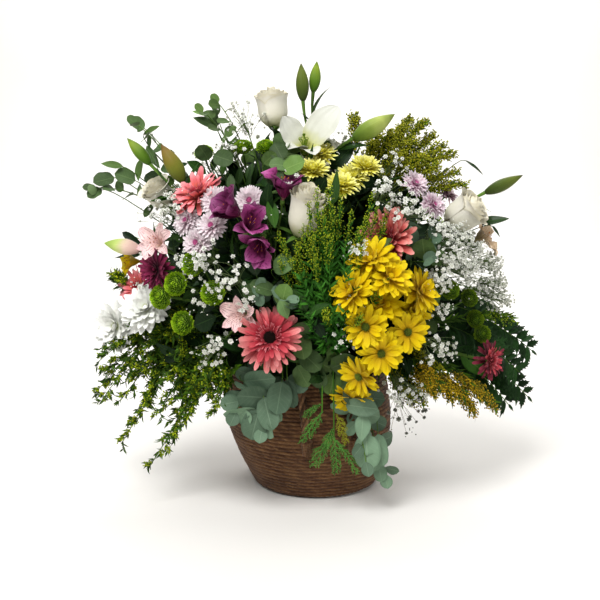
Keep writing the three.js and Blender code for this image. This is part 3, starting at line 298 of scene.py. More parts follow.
def joined(*shapes):
    verts, faces, along, across = zip(*shapes)
    starts = np.cumsum([0] + [len(v) for v in verts])
    faces = [f + start for f, start in zip(faces, starts)]
    return np.vstack(verts), np.vstack(faces), np.concatenate(along), np.concatenate(across)


def moved(shape, m):
    v, f, t, s = shape
    return v @ m[:3, :3].T + m[:3, 3], f, t, s


# ---------------------------------------------------------------- pieces
PIECES = {}


class Bag:
    """Collects the shapes of one piece, with a material for each and a random tone for each copy."""

    def __init__(self, name, slot, *nodes):
        self.name, self.slot, self.nodes = name, slot, nodes
        self.rng = draws(name)
        self.verts, self.faces, self.fields, self.materials, self.count = [], {3: [], 4: []}, [], [], 0
        PIECES[name] = self

    def put(self, shape, material, frames=None, tone=None, spread=1.0):
        verts, faces, along, across = shape
        frames = np.eye(4)[None] if frames is None else np.asarray(frames, float).reshape(-1, 4, 4)
        n, v = len(frames), len(verts)
        placed = np.einsum("nij,vj->nvi", frames[:, :3, :3], verts) + frames[:, None, :3, 3]
        if material not in self.materials:
            self.materials.append(material)
        index = self.materials.index(material)
        corners = (faces[None] + (np.arange(n) * v)[:, None, None]).reshape(-1, faces.shape[1]) + self.count
        self.faces[faces.shape[1]].append((corners, np.full(len(corners), index)))
        if tone is None:
            tones = np.repeat(0.5 + spread * (self.rng.random(n) - 0.5), v)
        else:
            tones = np.broadcast_to(tone, (n * v,))
        self.fields.append(np.stack([tones, np.tile(along, n), np.tile(across, n)], 1))
        self.verts.append(placed.reshape(-1, 3))
        self.count += n * v

    def finish(self):
        mesh = bpy.data.meshes.new(self.name)
        verts, fields = np.vstack(self.verts) * MM, np.vstack(self.fields)
        faces = self.faces[3] + self.faces[4]
        loops = np.concatenate([corners.ravel() for corners, _ in faces])
        totals = np.concatenate([np.full(len(corners), corners.shape[1]) for corners, _ in faces])
        mesh.vertices.add(len(verts))
        mesh.vertices.foreach_set("co", verts.ravel().astype(np.float32))
        mesh.loops.add(len(loops))
        mesh.loops.foreach_set("vertex_index", loops.astype(np.int32))
        mesh.polygons.add(len(totals))
        mesh.polygons.foreach_set("loop_start", (np.cumsum(totals) - totals).astype(np.int32))
        mesh.polygons.foreach_set("material_index",
            np.concatenate([index for _, index in faces]).astype(np.int32))
        mesh.polygons.foreach_set("use_smooth", np.ones(len(totals), bool))
        for k, name in enumerate(("tone", "along", "across")):
            mesh.attributes.new(name, "FLOAT", "POINT").data.foreach_set("value",
                fields[:, k].astype(np.float32))
        mesh.update(calc_edges=True)
        for material in self.materials:
            mesh.materials.append(made(material))
        piece = bpy.data.objects.new(self.name, mesh)
        bpy.context.scene.collection.objects.link(piece)
        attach(piece, "root")
        if self.nodes:
            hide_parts(*self.nodes)


# ---------------------------------------------------------------- materials
def rgb(code):
    """Linear colour of a hex sRGB code."""
    parts = [int(code[i:i + 2], 16) / 255 for i in (0, 2, 4)]
    return [c / 12.92 if c <= 0.04045 else ((c + 0.055) / 1.055) ** 2.4 for c in parts] + [1.0]


class Nodes:
    """A procedural material under construction."""

    def __init__(self, name, roughness, sheen=0.0, coat=0.0, specular=0.4):
        self.material = bpy.data.materials.new(name)
        self.material.use_nodes = True
        self.tree = self.material.node_tree
        self.shader = self.tree.nodes["Principled BSDF"]
        for socket, value in (("Roughness", roughness), ("Sheen Weight", sheen), ("Coat Weight", coat),
            ("Specular IOR Level", specular)):
            self.shader.inputs[socket].default_value = value

    def add(self, kind, out=0, inputs=(), **settings):
        node = self.tree.nodes.new(kind)
        for key, value in settings.items():
            setattr(node, key, value)
        for key, value in dict(inputs).items():
            if isinstance(value, bpy.types.NodeSocket):
                self.tree.links.new(value, node.inputs[key])
            else:
                node.inputs[key].default_value = value
        return node.outputs[out]

    def field(self, name):
        return self.add("ShaderNodeAttribute", "Fac", attribute_name=name)

    def place(self, scale=(1, 1, 1)):
        where = self.add("ShaderNodeTexCoord", "Object")
        return self.add("ShaderNodeMapping", 0, {"Vector": where, "Scale": scale})

    def noise(self, scale, detail=3.0, rough=0.55, stretch=(1, 1, 1)):
        return self.add("ShaderNodeTexNoise", "Fac",
            {"Vector": self.place(stretch), "Scale": scale, "Detail": detail, "Roughness": rough})

    def math(self, kind, a, b=0.0):
        return self.add("ShaderNodeMath", 0, {0: a, 1: b}, operation=kind)

    def plus(self, a, b):
        return self.math("ADD", a, b)

    def times(self, a, b):
        return self.math("MULTIPLY", a, b)

    def ramp(self, value, stops):
        out = self.add("ShaderNodeValToRGB", 0, {"Fac": value})
        ramp = out.node.color_ramp
        while len(ramp.elements) < len(stops):
            ramp.elements.new(0.5)
        for element, (where, code) in zip(ramp.elements, stops):
            element.position = where
            element.color = rgb(code)
        return out

    def mix(self, share, a, b):
        return self.add("ShaderNodeMix", 2, {0: share, 6: a, 7: b}, data_type="RGBA")

    def shade(self, colour, value):
        return self.add("ShaderNodeHueSaturation", 0, {"Color": colour, "Value": value})

    def bump(self, height, strength, distance=0.001):
        normal = self.add("ShaderNodeBump", 0, {"Height": height, "Strength": strength, "Distance": distance})
        self.tree.links.new(normal, self.shader.inputs["Normal"])

    def done(self, colour):
        self.tree.links.new(colour, self.shader.inputs["Base Color"])
        return self.material


def petal_material(name, stops, roughness, vary, veins, streak=None, mottle=0.0, sheen=0.05):
    """Petals, buds and florets: colour from base to tip, a tone for each, lengthwise veins and faint mottling."""
    n = Nodes(name, roughness, sheen=sheen, specular=0.12)
    tone, along, across = n.field("tone"), n.field("along"), n.field("across")
    blur = n.times(n.math("SUBTRACT", n.noise(60, 2), 0.5), 0.25)
    colour = n.ramp(n.plus(along, blur), stops)
    if streak:
        code, count, share = streak
        lines = n.math("SINE", n.times(across, count))
        broken = n.times(n.math("GREATER_THAN", lines, 0.55), n.math("GREATER_THAN", n.noise(260, 2), 0.48))
        colour = n.mix(n.times(broken, share), colour, rgb(code))
    value = n.plus(1 - vary / 2, n.times(tone, vary))
    if mottle:
        value = n.plus(value, n.times(n.math("SUBTRACT", n.noise(140, 4), 0.5), mottle))
    colour = n.shade(colour, value)
    rib = n.math("SINE", n.times(across, 14.0))
    n.bump(n.plus(n.times(rib, veins), n.noise(500, 3)), 0.35)
    return n.done(colour)


def leaf_material(name, dark, light, rib, roughness, vary=0.5, coat=0.0, bloom=None, under=None):
    """Leaves and stems: a lighter midrib, side veins, mottling and, on waxy ones, a pale bloom."""
    n = Nodes(name, roughness, coat=coat, specular=0.12)
    tone, along, across = n.field("tone"), n.field("along"), n.field("across")
    patches = n.noise(45, 4)
    light_share = n.plus(n.times(tone, 0.7), n.times(patches, 0.35))
    colour = n.mix(light_share, rgb(dark), rgb(light))
    width = n.math("ABSOLUTE", across)
    side = n.math("SINE", n.plus(n.times(along, 44.0), n.times(width, -12.0)))
    side_vein = n.times(n.math("GREATER_THAN", side, 0.93), 0.35)
    vein = n.math("MAXIMUM", n.math("LESS_THAN", width, 0.045), side_vein)
    colour = n.mix(n.times(vein, 0.4), colour, rgb(rib))
    edge = n.times(n.math("GREATER_THAN", width, 0.86), n.times(n.noise(90, 3), 0.7))
    colour = n.mix(edge, colour, rgb(dark))
    if bloom:
        colour = n.mix(n.times(n.noise(85, 5, 0.7), 0.6), colour, rgb(bloom))
    if under:
        back = n.add("ShaderNodeNewGeometry", "Backfacing")
        colour = n.mix(n.times(back, 0.6), colour, rgb(under))
    value = n.plus(1 - vary / 2, n.times(tone, vary))
    colour = n.shade(colour, value)
    n.bump(n.plus(n.times(vein, -0.6), n.noise(220, 4)), 0.4)
    return n.done(colour)




PETAL_LOOKS = {  # stops from base to tip, roughness, how much the tone varies, veins, streak, mottle, sheen
    "rose_petal": ([(0, "848a50"), (0.12, "ccc89c"), (0.4, "e8e4d0"), (0.9, "eeeadc"), (1, "e6e0c8")], 0.5,
        0.12, 0.15, None, 0.05),
    "gerbera_coral": ([(0, "7c1420"), (0.3, "b0303c"), (0.6, "cc5a5e"), (1, "e29490")], 0.55, 0.4, 0.6,
        ("b03444", 9.0, 0.25), 0.15),
    "gerbera_coral_inner": ([(0, "5a0a18"), (0.5, "96222e"), (1, "c04c54")], 0.55, 0.5, 0.3),
    "gerbera_fuzz": ([(0, "6c101c"), (0.55, "b03640"), (1, "e0868c")], 0.6, 0.4, 0.2),
    "gerbera_coral_red": ([(0, "96242a"), (0.35, "c04a48"), (0.75, "dc7670"), (1, "eda69c")], 0.55, 0.3, 0.5),
    "gerbera_pink": ([(0, "b84a2c"), (0.35, "dc6656"), (0.7, "e8747c"), (1, "f4a4a6")], 0.55, 0.4, 0.5),
    # gerbera_dark_red: a dark red made darker still, painted shade for the far-right head, which stands in
    # shadow.
    "gerbera_dark_red": ([(0, "2c060e"), (0.4, "561420"), (1, "802c3e")], 0.55, 0.3, 0.5),
    "lily_petal": ([(0, "8f9c30"), (0.2, "b8ba70"), (0.42, "c6c7b8"), (1, "cecfc6")], 0.45, 0.06, 0.6, None,
        0.05, 0.0),
    "white_petal": ([(0, "c6cc98"), (0.25, "eaece4"), (1, "fafaf6")], 0.55, 0.05, 0.2),
    "yellow_petal": ([(0, "a37a02"), (0.2, "c8a002"), (0.7, "dabc00"), (1, "e2c80c")], 0.5, 0.25, 0.5),
    "lemon_petal": ([(0, "b4a80c"), (0.35, "dace22"), (0.7, "e6e060"), (1, "eeec9c")], 0.55, 0.2, 0.3),
    "pink_petal": ([(0, "7e1c50"), (0.22, "b05c8c"), (0.5, "dcc6ce"), (1, "ece2e4")], 0.55, 0.25, 0.3),
    "pompon_core": ([(0, "2a420a"), (1, "3c5c0c")], 0.7, 0.2, 0.1),
    "olive_petal": ([(0, "243a08"), (0.4, "54780e"), (0.8, "7c9c1c"), (1, "98b02c")], 0.55, 0.4, 0.2),
    "pink_eye": ([(0, "8c2456"), (0.6, "b5447f"), (1, "cf7ba4")], 0.6, 0.4, 0.2),
    "lilac_petal": ([(0, "8c2c5c"), (0.3, "b87c9c"), (0.65, "dac0cb"), (1, "eee2e6")], 0.55, 0.3, 0.3),
    "lime_petal": ([(0, "2c4c08"), (0.35, "68960e"), (0.75, "9cc41a"), (1, "bcda34")], 0.55, 0.4, 0.2),
    "purple_petal": ([(0, "b89a70"), (0.14, "782050"), (0.5, "681848"), (0.82, "8e3870"), (1, "b4689a")], 0.45,
        0.7, 0.4, ("2c0720", 17.0, 0.5), 0.2),
    "pale_petal": ([(0, "cdb98a"), (0.3, "e9c6c0"), (0.7, "f0d3d0"), (1, "eec3c4")], 0.5, 0.15, 0.4,
        ("7b2a3c", 19.0, 0.55)),
    "tan_petal": ([(0, "8d8a48"), (0.4, "c9ad8a"), (1, "dcc4a4")], 0.5, 0.2, 0.4, ("6e4434", 15.0, 0.35)),
    "burgundy_petal": ([(0, "2e0914"), (0.5, "5e1230"), (1, "86264c")], 0.5, 0.4, 0.4),
    "floret_white": ([(0, "98a47e"), (0.3, "dadcce"), (1, "f4f4ee")], 0.6, 0.1, 0.1),
    "floret_dry": ([(0, "2c3024"), (0.5, "56584a"), (1, "92948a")], 0.7, 0.7, 0.1),
    "solidago_bud": ([(0, "445808"), (0.5, "7e860e"), (1, "b8ae20")], 0.6, 0.6, 0.1, None, 0.3),
    "solidago_fresh": ([(0, "3a6c10"), (0.5, "6c8c14"), (1, "bcbc1c")], 0.6, 0.7, 0.1, None, 0.4),
    "solidago_gold": ([(0, "2c380a"), (0.45, "80700c"), (1, "e6ba18")], 0.6, 0.8, 0.1, None, 0.4),
    "green_bud": ([(0, "42680a"), (0.5, "869e10"), (1, "c2c41e")], 0.6, 0.5, 0.1, None, 0.2),
    "anther": ([(0, "7c3a10"), (1, "c0702a")], 0.8, 0.3, 0.1),
    "dark_disc": ([(0, "0c0806"), (0.6, "180f0c"), (1, "32201a")], 0.8, 0.5, 0.1, None, 0, 0.0),
    "red_disc": ([(0, "3c0810"), (0.6, "5c141c"), (1, "8c3034")], 0.8, 0.5, 0.1),
    "green_disc": ([(0, "26300c"), (0.6, "4a5a16"), (1, "7b8a24")], 0.8, 0.5, 0.1),
    "lily_bud": ([(0, "42601c"), (0.35, "748a34"), (0.7, "a6b25c"), (1, "64782c")], 0.4, 0.12, 0.3, None, 0.08),
    "lily_bud_green": ([(0, "33560f"), (0.4, "56761c"), (0.8, "80962c"), (1, "4f6c16")], 0.4, 0.12, 0.3, None,
        0.08),
    "lily_bud_olive": ([(0, "2e3e12"), (0.4, "48581c"), (0.8, "5c6824"), (1, "404a18")], 0.4, 0.12, 0.3, None,
        0.1),
    "lily_bud_brown": ([(0, "4a5a1c"), (0.4, "6a7024"), (0.8, "7c6628"), (1, "5c4018")], 0.4, 0.12, 0.3, None,
        0.1),
    "lily_bud_pink": ([(0, "c89a98"), (0.35, "d6bca8"), (0.6, "b6c870"), (1, "84a832")], 0.4, 0.12, 0.3, None,
        0.08),
}
LEAF_LOOKS = {  # dark, light and rib colour, roughness, how much the tone varies, coat, bloom, underside
    "stem": ("2f4a1a", "5d7d30", "6f8f3c", 0.5),
    "brown_stem": ("4a3a22", "7a6238", "80683c", 0.6),
    "calyx": ("2d4718", "55752c", "6d8d3c", 0.5),
    "rose_leaf": ("0f230c", "264318", "46642f", 0.4, 0.5, 0.08),
    # dark_leaf is darker than the leaves themselves: painted shade for the dome's shadowed inside, between the
    # flowers.
    "dark_leaf": ("0b1c0b", "1d3814", "365626", 0.5, 0.5, 0.03),
    "mum_leaf": ("162b0e", "2e4a18", "4c6c30", 0.5),
    "fern_leaf": ("10230c", "22431a", "385c2a", 0.5, 0.5, 0.03),
    "lily_leaf": ("1a350e", "365c1c", "54802e", 0.4, 0.5, 0.1),
    "narrow_leaf": ("264a12", "4c7a22", "648f34", 0.45),
    "fresh_leaf": ("1c4a10", "3c7422", "629a3c", 0.45, 0.7),
    "spray_leaf": ("1a340a", "466812", "64802c", 0.5, 0.7),
    "fine_stalk": ("51633a", "7f9060", "8b9a6c", 0.6),
    "thuja_leaf": ("224a18", "4a7c34", "72a442", 0.45, 0.8),
    "dry_thuja": ("5c6414", "8c8c22", "a09a34", 0.5),
    "eucalyptus_leaf": ("22351a", "4c643a", "748a58", 0.5, 0.8, 0, "607a4a", "6c8258"),
    "silver_leaf": ("3a523e", "6a866a", "8ea488", 0.5, 0.55, 0, "7f987e", "728a70"),
    # grey_leaf is silver_leaf made about a fifth darker: painted shade for eucalyptus leaves that sit under the
    # flowers.
    "grey_leaf": ("2c4030", "56705a", "7c9478", 0.5, 0.6, 0, "6a8268", "64785f"),
    "green_round_leaf": ("283f16", "54722e", "7c9450", 0.5, 0.7, 0, "6a8450", "7a9260"),
}


def seagrass_material(name):
    n = Nodes(name, 0.85, sheen=0.1, specular=0.2)
    tone, along, across = n.field("tone"), n.field("along"), n.field("across")
    fibres = n.noise(230, 5, 0.7, (1, 1, 2.2))
    blotches = n.noise(16, 4)
    share = n.plus(n.times(fibres, 0.65), n.times(tone, 0.25))
    base = n.ramp(share, [(0.2, "3a2414"), (0.38, "5e3f28"), (0.52, "7a5636"), (0.75, "a07850")])
    # Painted shade: the colour darkens toward 28130a in the grooves between the coiled rows and between the plies
    # of each rope, where the across field runs low.
    base = n.mix(n.times(n.math("SUBTRACT", 1.0, across), 0.9), base, rgb("28130a"))
    base = n.shade(base, n.plus(0.62, n.times(blotches, 0.75)))
    n.bump(n.plus(fibres, n.times(along, 0.3)), 0.6, 0.0012)
    return n.done(base)


def rope_material(name):
    n = Nodes(name, 0.85, sheen=0.1, specular=0.2)
    fibres = n.noise(190, 5, 0.75, (1, 1, 0.35))
    share = n.plus(n.times(fibres, 0.75), n.times(n.field("tone"), 0.25))
    colour = n.ramp(share, [(0.3, "1c1007"), (0.44, "48301c"), (0.56, "6c4c32"), (0.72, "987250")])
    n.bump(fibres, 0.7, 0.0012)
    return n.done(colour)


def liner_material(name):
    n = Nodes(name, 0.35, specular=0.5)
    folds = n.noise(30, 3, 0.5, (1, 1, 0.2))
    n.bump(folds, 0.6, 0.002)
    # Painted light and shade: the black film is coloured lighter on the ridges of its folds and darker in their
    # hollows.
    return n.done(n.mix(folds, rgb("191817"), rgb("3d3b38")))


def foam_material(name):
    n = Nodes(name, 0.95, specular=0.15)
    cells = n.add("ShaderNodeTexVoronoi", "Distance", {"Vector": n.place(), "Scale": 420.0})
    n.bump(n.plus(cells, n.noise(60, 4)), 0.7, 0.001)
    return n.done(n.mix(n.noise(40, 5), rgb("1f3319"), rgb("3c5a30")))


OWN_LOOKS = {
    "seagrass": seagrass_material, "rope": rope_material, "liner_film": liner_material,
    "wet_foam": foam_material,
}


@functools.cache
def made(name):
    """The material of this name, made once, when a piece first needs it."""
    if name in PETAL_LOOKS:
        return petal_material(name, *PETAL_LOOKS[name])
    if name in LEAF_LOOKS:
        return leaf_material(name, *LEAF_LOOKS[name])
    return OWN_LOOKS[name](name)


# ---------------------------------------------------------------- stems
def stem_way(goal, arrival, steps=10):
    """The way of a stem from inside the foam to `goal`, which it reaches along `arrival`."""
    flat = (goal - STEM_HEART) * FLAT
    length = np.linalg.norm(flat)
    entry = STEM_HEART + flat / length * 96 * min(1, length / 300) ** 0.8
    entry[2] = FOAM_TOP
    into = unit(STEM_HEART - entry)
    reach = np.linalg.norm(goal - entry)
    start = entry + 9 * into
    return bezier(start, start - 0.33 * reach * into, goal - min(0.3 * reach, 45) * unit(arrival), goal,
        steps=steps)


def stalk(bag, way, thick, thin, look="stem", sides=5):
    """A stalk that tapers along its way."""
    bag.put(tube(way, np.linspace(thick, thin, len(way)), sides), look)


def head_stem(bag, head, facing, neck, radius):
    """The stem of a single head, which it reaches from behind."""
    way = stem_way(head - unit(facing) * neck, facing)
    stalk(bag, way, radius, radius * 0.85, sides=7)
    return way


def stem_leaves(bag, way, shapes, material, count, size_range=(0.8, 1.1), between=(0.35, 0.9)):
    """Leaves that leave a stem alternately and bend outward."""
    rng = bag.rng
    for k in range(count):
        t = between[0] + (between[1] - between[0]) * (k + rng.random()) / count
        at, n = along_way(way, t)[0], int(t * (len(way) - 1))
        along = unit(way[min(n + 1, len(way) - 1)] - way[n - 1])
        side = unit(aside(along, k, 0.2))
        point = unit(0.5 * along + side + 0.7 * outward(at) + 0.25 * rng.normal(size=3))
        frame = lay(at, point, outward(at) + 0.3 * rng.normal(size=3)) @ size(rng.uniform(*size_range))
        bag.put(shapes[k % len(shapes)], material, frame)


def spray(bag, heads, facings, neck, leaves):
    """One stem that forks into a stalk for each head."""
    middle = np.mean(heads, 0)
    fork = middle + (STEM_ENTRY - middle) * 0.38
    way = stem_way(fork, middle - fork)
    bag.put(tube(way, 2.3, 7), "stem")
    for k, (head, facing) in enumerate(zip(heads, facings)):
        start = way[-1] + (way[-2] - way[-1]) * min(0.04 + 0.16 * k, 0.9)
        goal = head - unit(facing) * neck
        reach = np.linalg.norm(goal - start)
        into = goal - 0.35 * reach * unit(facing)
        twig = bezier(start, start + 0.4 * reach * unit(middle - fork), into, goal)
        bag.put(tube(twig, 1.5, 5), "stem")
        if reach > 25:
            stem_leaves(bag, twig, *leaves)


def facing_of(bag, head):
    """The way a head on the dome looks: outward, up and to the nearer side, front or back."""
    side = -0.35 if head[1] < 0 else 0.35
    return unit(outward(head) + [0, side, 0.15] + 0.12 * bag.rng.normal(size=3))


# ---------------------------------------------------------------- flowers
def whorl(bag, frame, shapes, material, count, foot, lift, height=0.0, phase=0.0, jitter=0.12,
        sizes=(0.9, 1.05),
          roll=0.15):
    """A ring of petals that leave a circle of radius `foot`, lifted from its plane."""
    rng = bag.rng
    angles = phase + (np.arange(count) + rng.normal(size=count) * jitter) * 2 * np.pi / count
    kinds = rng.integers(len(shapes), size=count)
    for kind, shape in enumerate(shapes):
        mine = angles[kinds == kind]
        n = len(mine)
        if n:
            tip = turn("y", -(lift + jitter * 0.8 * rng.normal(size=n)))
            frames = frame @ turn("z", mine) @ shift(foot, 0, height) @ tip
            frames = frames @ turn("x", roll * rng.normal(size=n)) @ size(rng.uniform(*sizes, size=n))
            bag.put(shape, material, frames)


def dome_dots(bag, frame, shape, material, count, radius, rise, base, start=0.0):
    """Small bodies in a sunflower pattern over a low dome, each standing off its surface."""
    k = np.arange(int(start * count), count)
    r = np.sqrt((k + 0.5) / count)
    z = rise * np.sqrt(np.clip(1 - r**2, 0, 1)) + base
    frames = frame @ turn("z", k * GOLDEN) @ shift(r * radius, 0, z) @ turn("y", r**1.5) @ turn("z", k * 1.7)
    bag.put(shape, material, frames @ size(bag.rng.uniform(0.85, 1.15, size=len(k))))


def shank(outline, sides=14):
    return turned([[0.05, outline[0][1]]] + outline + [[0.05, outline[-1][1]]], sides)


def gerbera(bag, head, facing, diameter, outer, inner, flat, eye, broad, full):
    """A gerbera: two rings of long rays, one of short ones, a fuzzy ring, an eye and its green cup."""
    R = diameter / 2
    frame = stand(head, facing)
    ray = dict(wave=0.06, rows=10, cols=4)
    long = [blade(R * 0.84, R * w * broad, "ray", 0, c, 0.2, **ray)
            for w, c in ((0.16, -0.4), (0.18, -0.1), (0.14, 0.15), (0.17, -0.65))]
    short = [blade(R * 0.6, R * w, "ray", 0, c, 0.22, wave=0.08, rows=8, cols=4) for w,
        c in ((0.15, -0.3), (0.13, -0.1))]
    strip = [blade(R * l, R * w, "strap", 0, c, 0.2, rows=3, cols=2) for l, w,
        c in ((0.3, 0.05, -0.3), (0.24, 0.045, 0.5))]
    bract = [blade(R * 0.24, R * 0.07, "lance", 0, 0.2, 0.1, rows=3)]
    whorl(bag, frame, long, outer, int(26 * full / broad), R * 0.16, flat, 0, 0, 0.3, (0.8, 1.0), 0.35)
    whorl(bag, frame, long, outer, int(22 * full / broad), R * 0.15, flat + 0.18, 1.5, 0.15, 0.3, (0.72, 0.95),
        0.35)
    whorl(bag, frame, short, inner, 26, R * 0.15, flat + 0.34, 2.2, 0.3, 0.22, (0.75, 1.0), 0.3)
    whorl(bag, frame, strip, "gerbera_fuzz", 60, R * 0.19, 0.42, 3.5, 0, 0.3)
    whorl(bag, frame, strip, "gerbera_fuzz", 50, R * 0.15, 0.8, 4.5, 0, 0.3, (0.7, 0.95))
    bag.put(shank([[R * 0.16, -1], [R * 0.15, 3.2], [R * 0.09, 5]]), eye, frame)
    dome_dots(bag, frame, grain(R * 0.07, R * 0.028), eye, 150, R * 0.135, 2.2, 3.2)
    dome_dots(bag, frame, grain(R * 0.1, R * 0.03), inner, 150, R * 0.18, 2, 3.5, start=0.72)
    bag.put(shank([[2.4, -9], [R * 0.13, -7], [R * 0.24, -2], [R * 0.25, 0.5]]), "calyx", frame)
    whorl(bag, frame, bract, "calyx", 22, R * 0.15, 0.35, -4.5)
    whorl(bag, frame, bract, "calyx", 18, R * 0.1, 0.5, -6.5)
    head_stem(bag, head, facing, 5, 3)


def cup(radius, height, spread, flare, roll):
    """A wrapped petal: part of a cup about +Z from its foot to its rolled rim."""
    t, s, faces = sheet(10, 12)
    h = t * (1 - 0.26 * abs(s) ** 2.6)
    rim = ((h - 0.68) / 0.32).clip(0)
    r = radius * (0.28 + 0.72 * np.sin(np.pi / 2 * np.minimum(1, h * 2.5)) ** 0.8)
    r = r + radius * flare * h**2 + radius * roll * rim**1.6 + radius * 0.07 * s**2 * h
    z = height * (h - roll * 0.42 * rim**2.2)
    a = spread * s * (0.5 + 0.5 * np.sin(np.pi / 2 * np.minimum(1, 2.2 * t)))
    verts = np.stack([r * np.cos(a), r * np.sin(a), z], -1).reshape(-1, 3)
    return verts, faces[:, [0, 3, 2, 1]], (t + 0 * s).ravel(), (s + 0 * t).ravel()


def rose(bag, head, facing, diameter, height, openness, spin):
    """A rose of wrapped petals, each wider than the one inside it, on a green cup with five sepals."""
    R, foot, petals = diameter / 2, -height / 2, 19
    frame = stand(head, facing, spin)
    for k in range(petals):
        q = k / (petals - 1)
        radius = R * (0.1 + (0.62 + 0.1 * openness) * q**0.85)
        tall = height * (0.93 - 0.10 * q + 0.05 * bag.rng.random())
        flare, roll = openness * (0.06 + 0.4 * q**2.2), (0.1 + 0.6 * openness) * (0.3 + 0.7 * q)
        place = frame @ shift(0, 0, foot)[0] @ turn("z", k * GOLDEN + 0.1)[0] @ turn("y",
            openness * 0.10 * q)[0]
        bag.put(cup(radius, tall, 1.65 - 0.45 * q, flare, roll), "rose_petal", place)
    bag.put(shank([[2.5, foot - 5], [6.5, foot - 2], [9.5, foot + 3], [9, foot + 7]]), "calyx", frame)
    sepal = [blade(height * l, w, "lance", 0, c, 0.2, rows=6) for l, w, c in ((0.42, 8, -0.9), (0.36, 7, 0.5))]
    whorl(bag, frame, sepal, "calyx", 5, 7.5, 0.5, foot + 2)
    way = head_stem(bag, head, facing, height / 2 + 2, 2.6)
    leaf = [blade(l, w, "petal", lift, c, 0.1, 0.12, 0.06, 5, 8, 4) for l, w, lift,
        c in ((30, 19, 0.1, -0.5), (24, 15, 0, -0.8))]
    stem_leaves(bag, way, leaf, "rose_leaf", 5, between=(0.6, 0.95))


def lily(bag, head, facing, petals):
    """An open lily whose petals reach the points given, each with its width, bend and the way its face looks."""
    frame = stand(head, facing)
    for tip, width, curl, face in petals:
        reach = np.linalg.norm(tip - head)
        petal = blade(reach, width, "broad", -0.5 * curl, curl, 0.2, 0.06, 0.04, 3, 18, 8)
        bag.put(petal, "lily_petal", lay(head, tip - head, face))
    for k in range(6):
        tip = np.array([math.cos(k * 1.05 + 0.3) * 7, math.sin(k * 1.05 + 0.3) * 5, 20])
        bag.put(tube(bezier([1, 0, -4], tip * [0.2, 0.2, 0.6], tip), 0.8, 5), "lily_bud_green", frame)
        bag.put(moved(grain(6, 2.2), turn("x", 1.4)[0]), "lily_bud",
            frame @ shift(*tip)[0] @ turn("z", k * 1.05)[0])
    bag.put(tube(bezier([0, 0, -4], [1, 1, 14], [2, -2, 27]), [1.3] * 8 + [2.6], 6), "lily_bud_green", frame)
    bag.put(shank([[2.8, -7], [5, -4], [7, 1], [6, 5]]), "lily_bud_green", frame)
    way = head_stem(bag, head, facing, 7, 2.8)
    stem_leaves(bag, way, [blade(62, 12, "lance", 0.2, -0.6, 0.1, 0.1, rows=10, cols=4)], "lily_leaf", 6,
        between=(0.55, 0.97))


def bud(bag, tip, base, width, material):
    """A closed lily bud from base to tip, with three faint lobes."""
    t = np.linspace(0, 1, 27)
    girth = width / 2 * (0.2 * (1 - t) + np.sin(np.pi * t**0.9) ** 0.85 * (0.98 - 0.12 * t))
    girth[0] = girth[-1] = 0.05
    outline = np.stack([girth, t * np.linalg.norm(tip - base)], 1)
    bag.put(turned(outline, 36, 3, 0.07), material, stand(base, tip - base))


def mum(bag, head, facing, diameter, petal, rings, eye, eye_size, width, spin):
    """A chrysanthemum or daisy from its rings of petals, each with a count, a reach and a lift."""
    R = diameter / 2
    frame = stand(head, facing, spin)
    for k, (count, reach, lift) in enumerate(rings):
        shapes = [blade(R * reach, R * width * 2, "strap", 0, c, 0.26, wave=0.05, rows=5, cols=3)
            for c in (-0.2, 0.15, 0.4)]
        foot = R * (0.05 + 0.5 * eye_size + 0.05 * reach)
        whorl(bag, frame, shapes, petal, count, foot, lift, k * R * 0.03, 0.37 * k, 0.14, (0.9, 1.04), 0.1)
    bag.put(shank([[R * eye_size, -1], [R * eye_size * 0.95, R * 0.1], [R * eye_size * 0.5, R * 0.16]]), eye,
        frame)
    dome_dots(bag, frame, grain(R * 0.09, R * 0.06), eye, 60, R * eye_size, R * 0.06, R * 0.08)
    bag.put(shank([[1.6, -R * 0.34], [R * 0.2, -R * 0.22], [R * 0.26, -R * 0.05], [R * 0.2, R * 0.02]]),
        "calyx", frame)
    bract = [blade(R * 0.34, R * 0.12, "lance", 0, 0.25, 0.1, rows=3)]
    whorl(bag, frame, bract, "calyx", 16, R * 0.16, 0.3, -R * 0.15)


FULL_MUM = [(20, 0.95, -0.05), (19, 0.93, 0.14), (17, 0.84, 0.34), (14, 0.7, 0.58), (11, 0.54, 0.85),
    (7, 0.38, 1.12)]
OPEN_MUM = [(25, 0.9, -0.12), (25, 0.86, 0.06), (23, 0.76, 0.24), (20, 0.6, 0.44), (17, 0.42, 0.68),
    (14, 0.27, 0.9)]
LEMON_MUM = [(22, 0.9, 0.0), (22, 0.86, 0.2), (20, 0.76, 0.42), (17, 0.62, 0.7), (13, 0.48, 0.98),
    (9, 0.36, 1.25)]
DAISY = [(13, 0.92, -0.1), (13, 0.9, 0.1), (9, 0.78, 0.26)]
FULL_DAISY = [(13, 0.98, -0.15), (13, 0.95, 0.1), (11, 0.8, 0.4), (8, 0.55, 0.85)]


def pompon(bag, head, facing, diameter, petal):
    """A pompon: a green core set all over with short petals."""
    R, count = diameter / 2, 250
    frame = stand(head, facing)
    core = [[0.5, -0.4], [0.72, 0], [0.56, 0.36], [0.28, 0.5]]
    bag.put(turned([[0.05, -R * 0.5]] + [[R * r, R * z] for r, z in core] + [[0.05, R * 0.54]], 14),
        "pompon_core", frame)
    k = np.arange(count)
    polar = np.arccos(1 - 1.4 * (k + 0.5) / count)
    frames = frame @ turn("z", k * GOLDEN) @ shift(np.sin(polar) * R * 0.7, 0, np.cos(polar) * R * 0.5)
    frames = frames @ turn("y", polar * 0.85 - 1.35 + 0.15 * bag.rng.normal(size=count))
    frames = frames @ size(bag.rng.uniform(0.8, 1.1, size=count) * (0.7 + 0.4 * np.sin(polar)))
    bag.put(blade(R * 0.3, R * 0.19, "strap", 0, 0.9, 0.5, rows=3), petal, frames)
    whorl(bag, frame, [blade(R * 0.7, R * 0.2, "strap", 0, 0.5, 0.2, rows=3)], "calyx", 16, R * 0.2, 0.25,
        -R * 0.42)


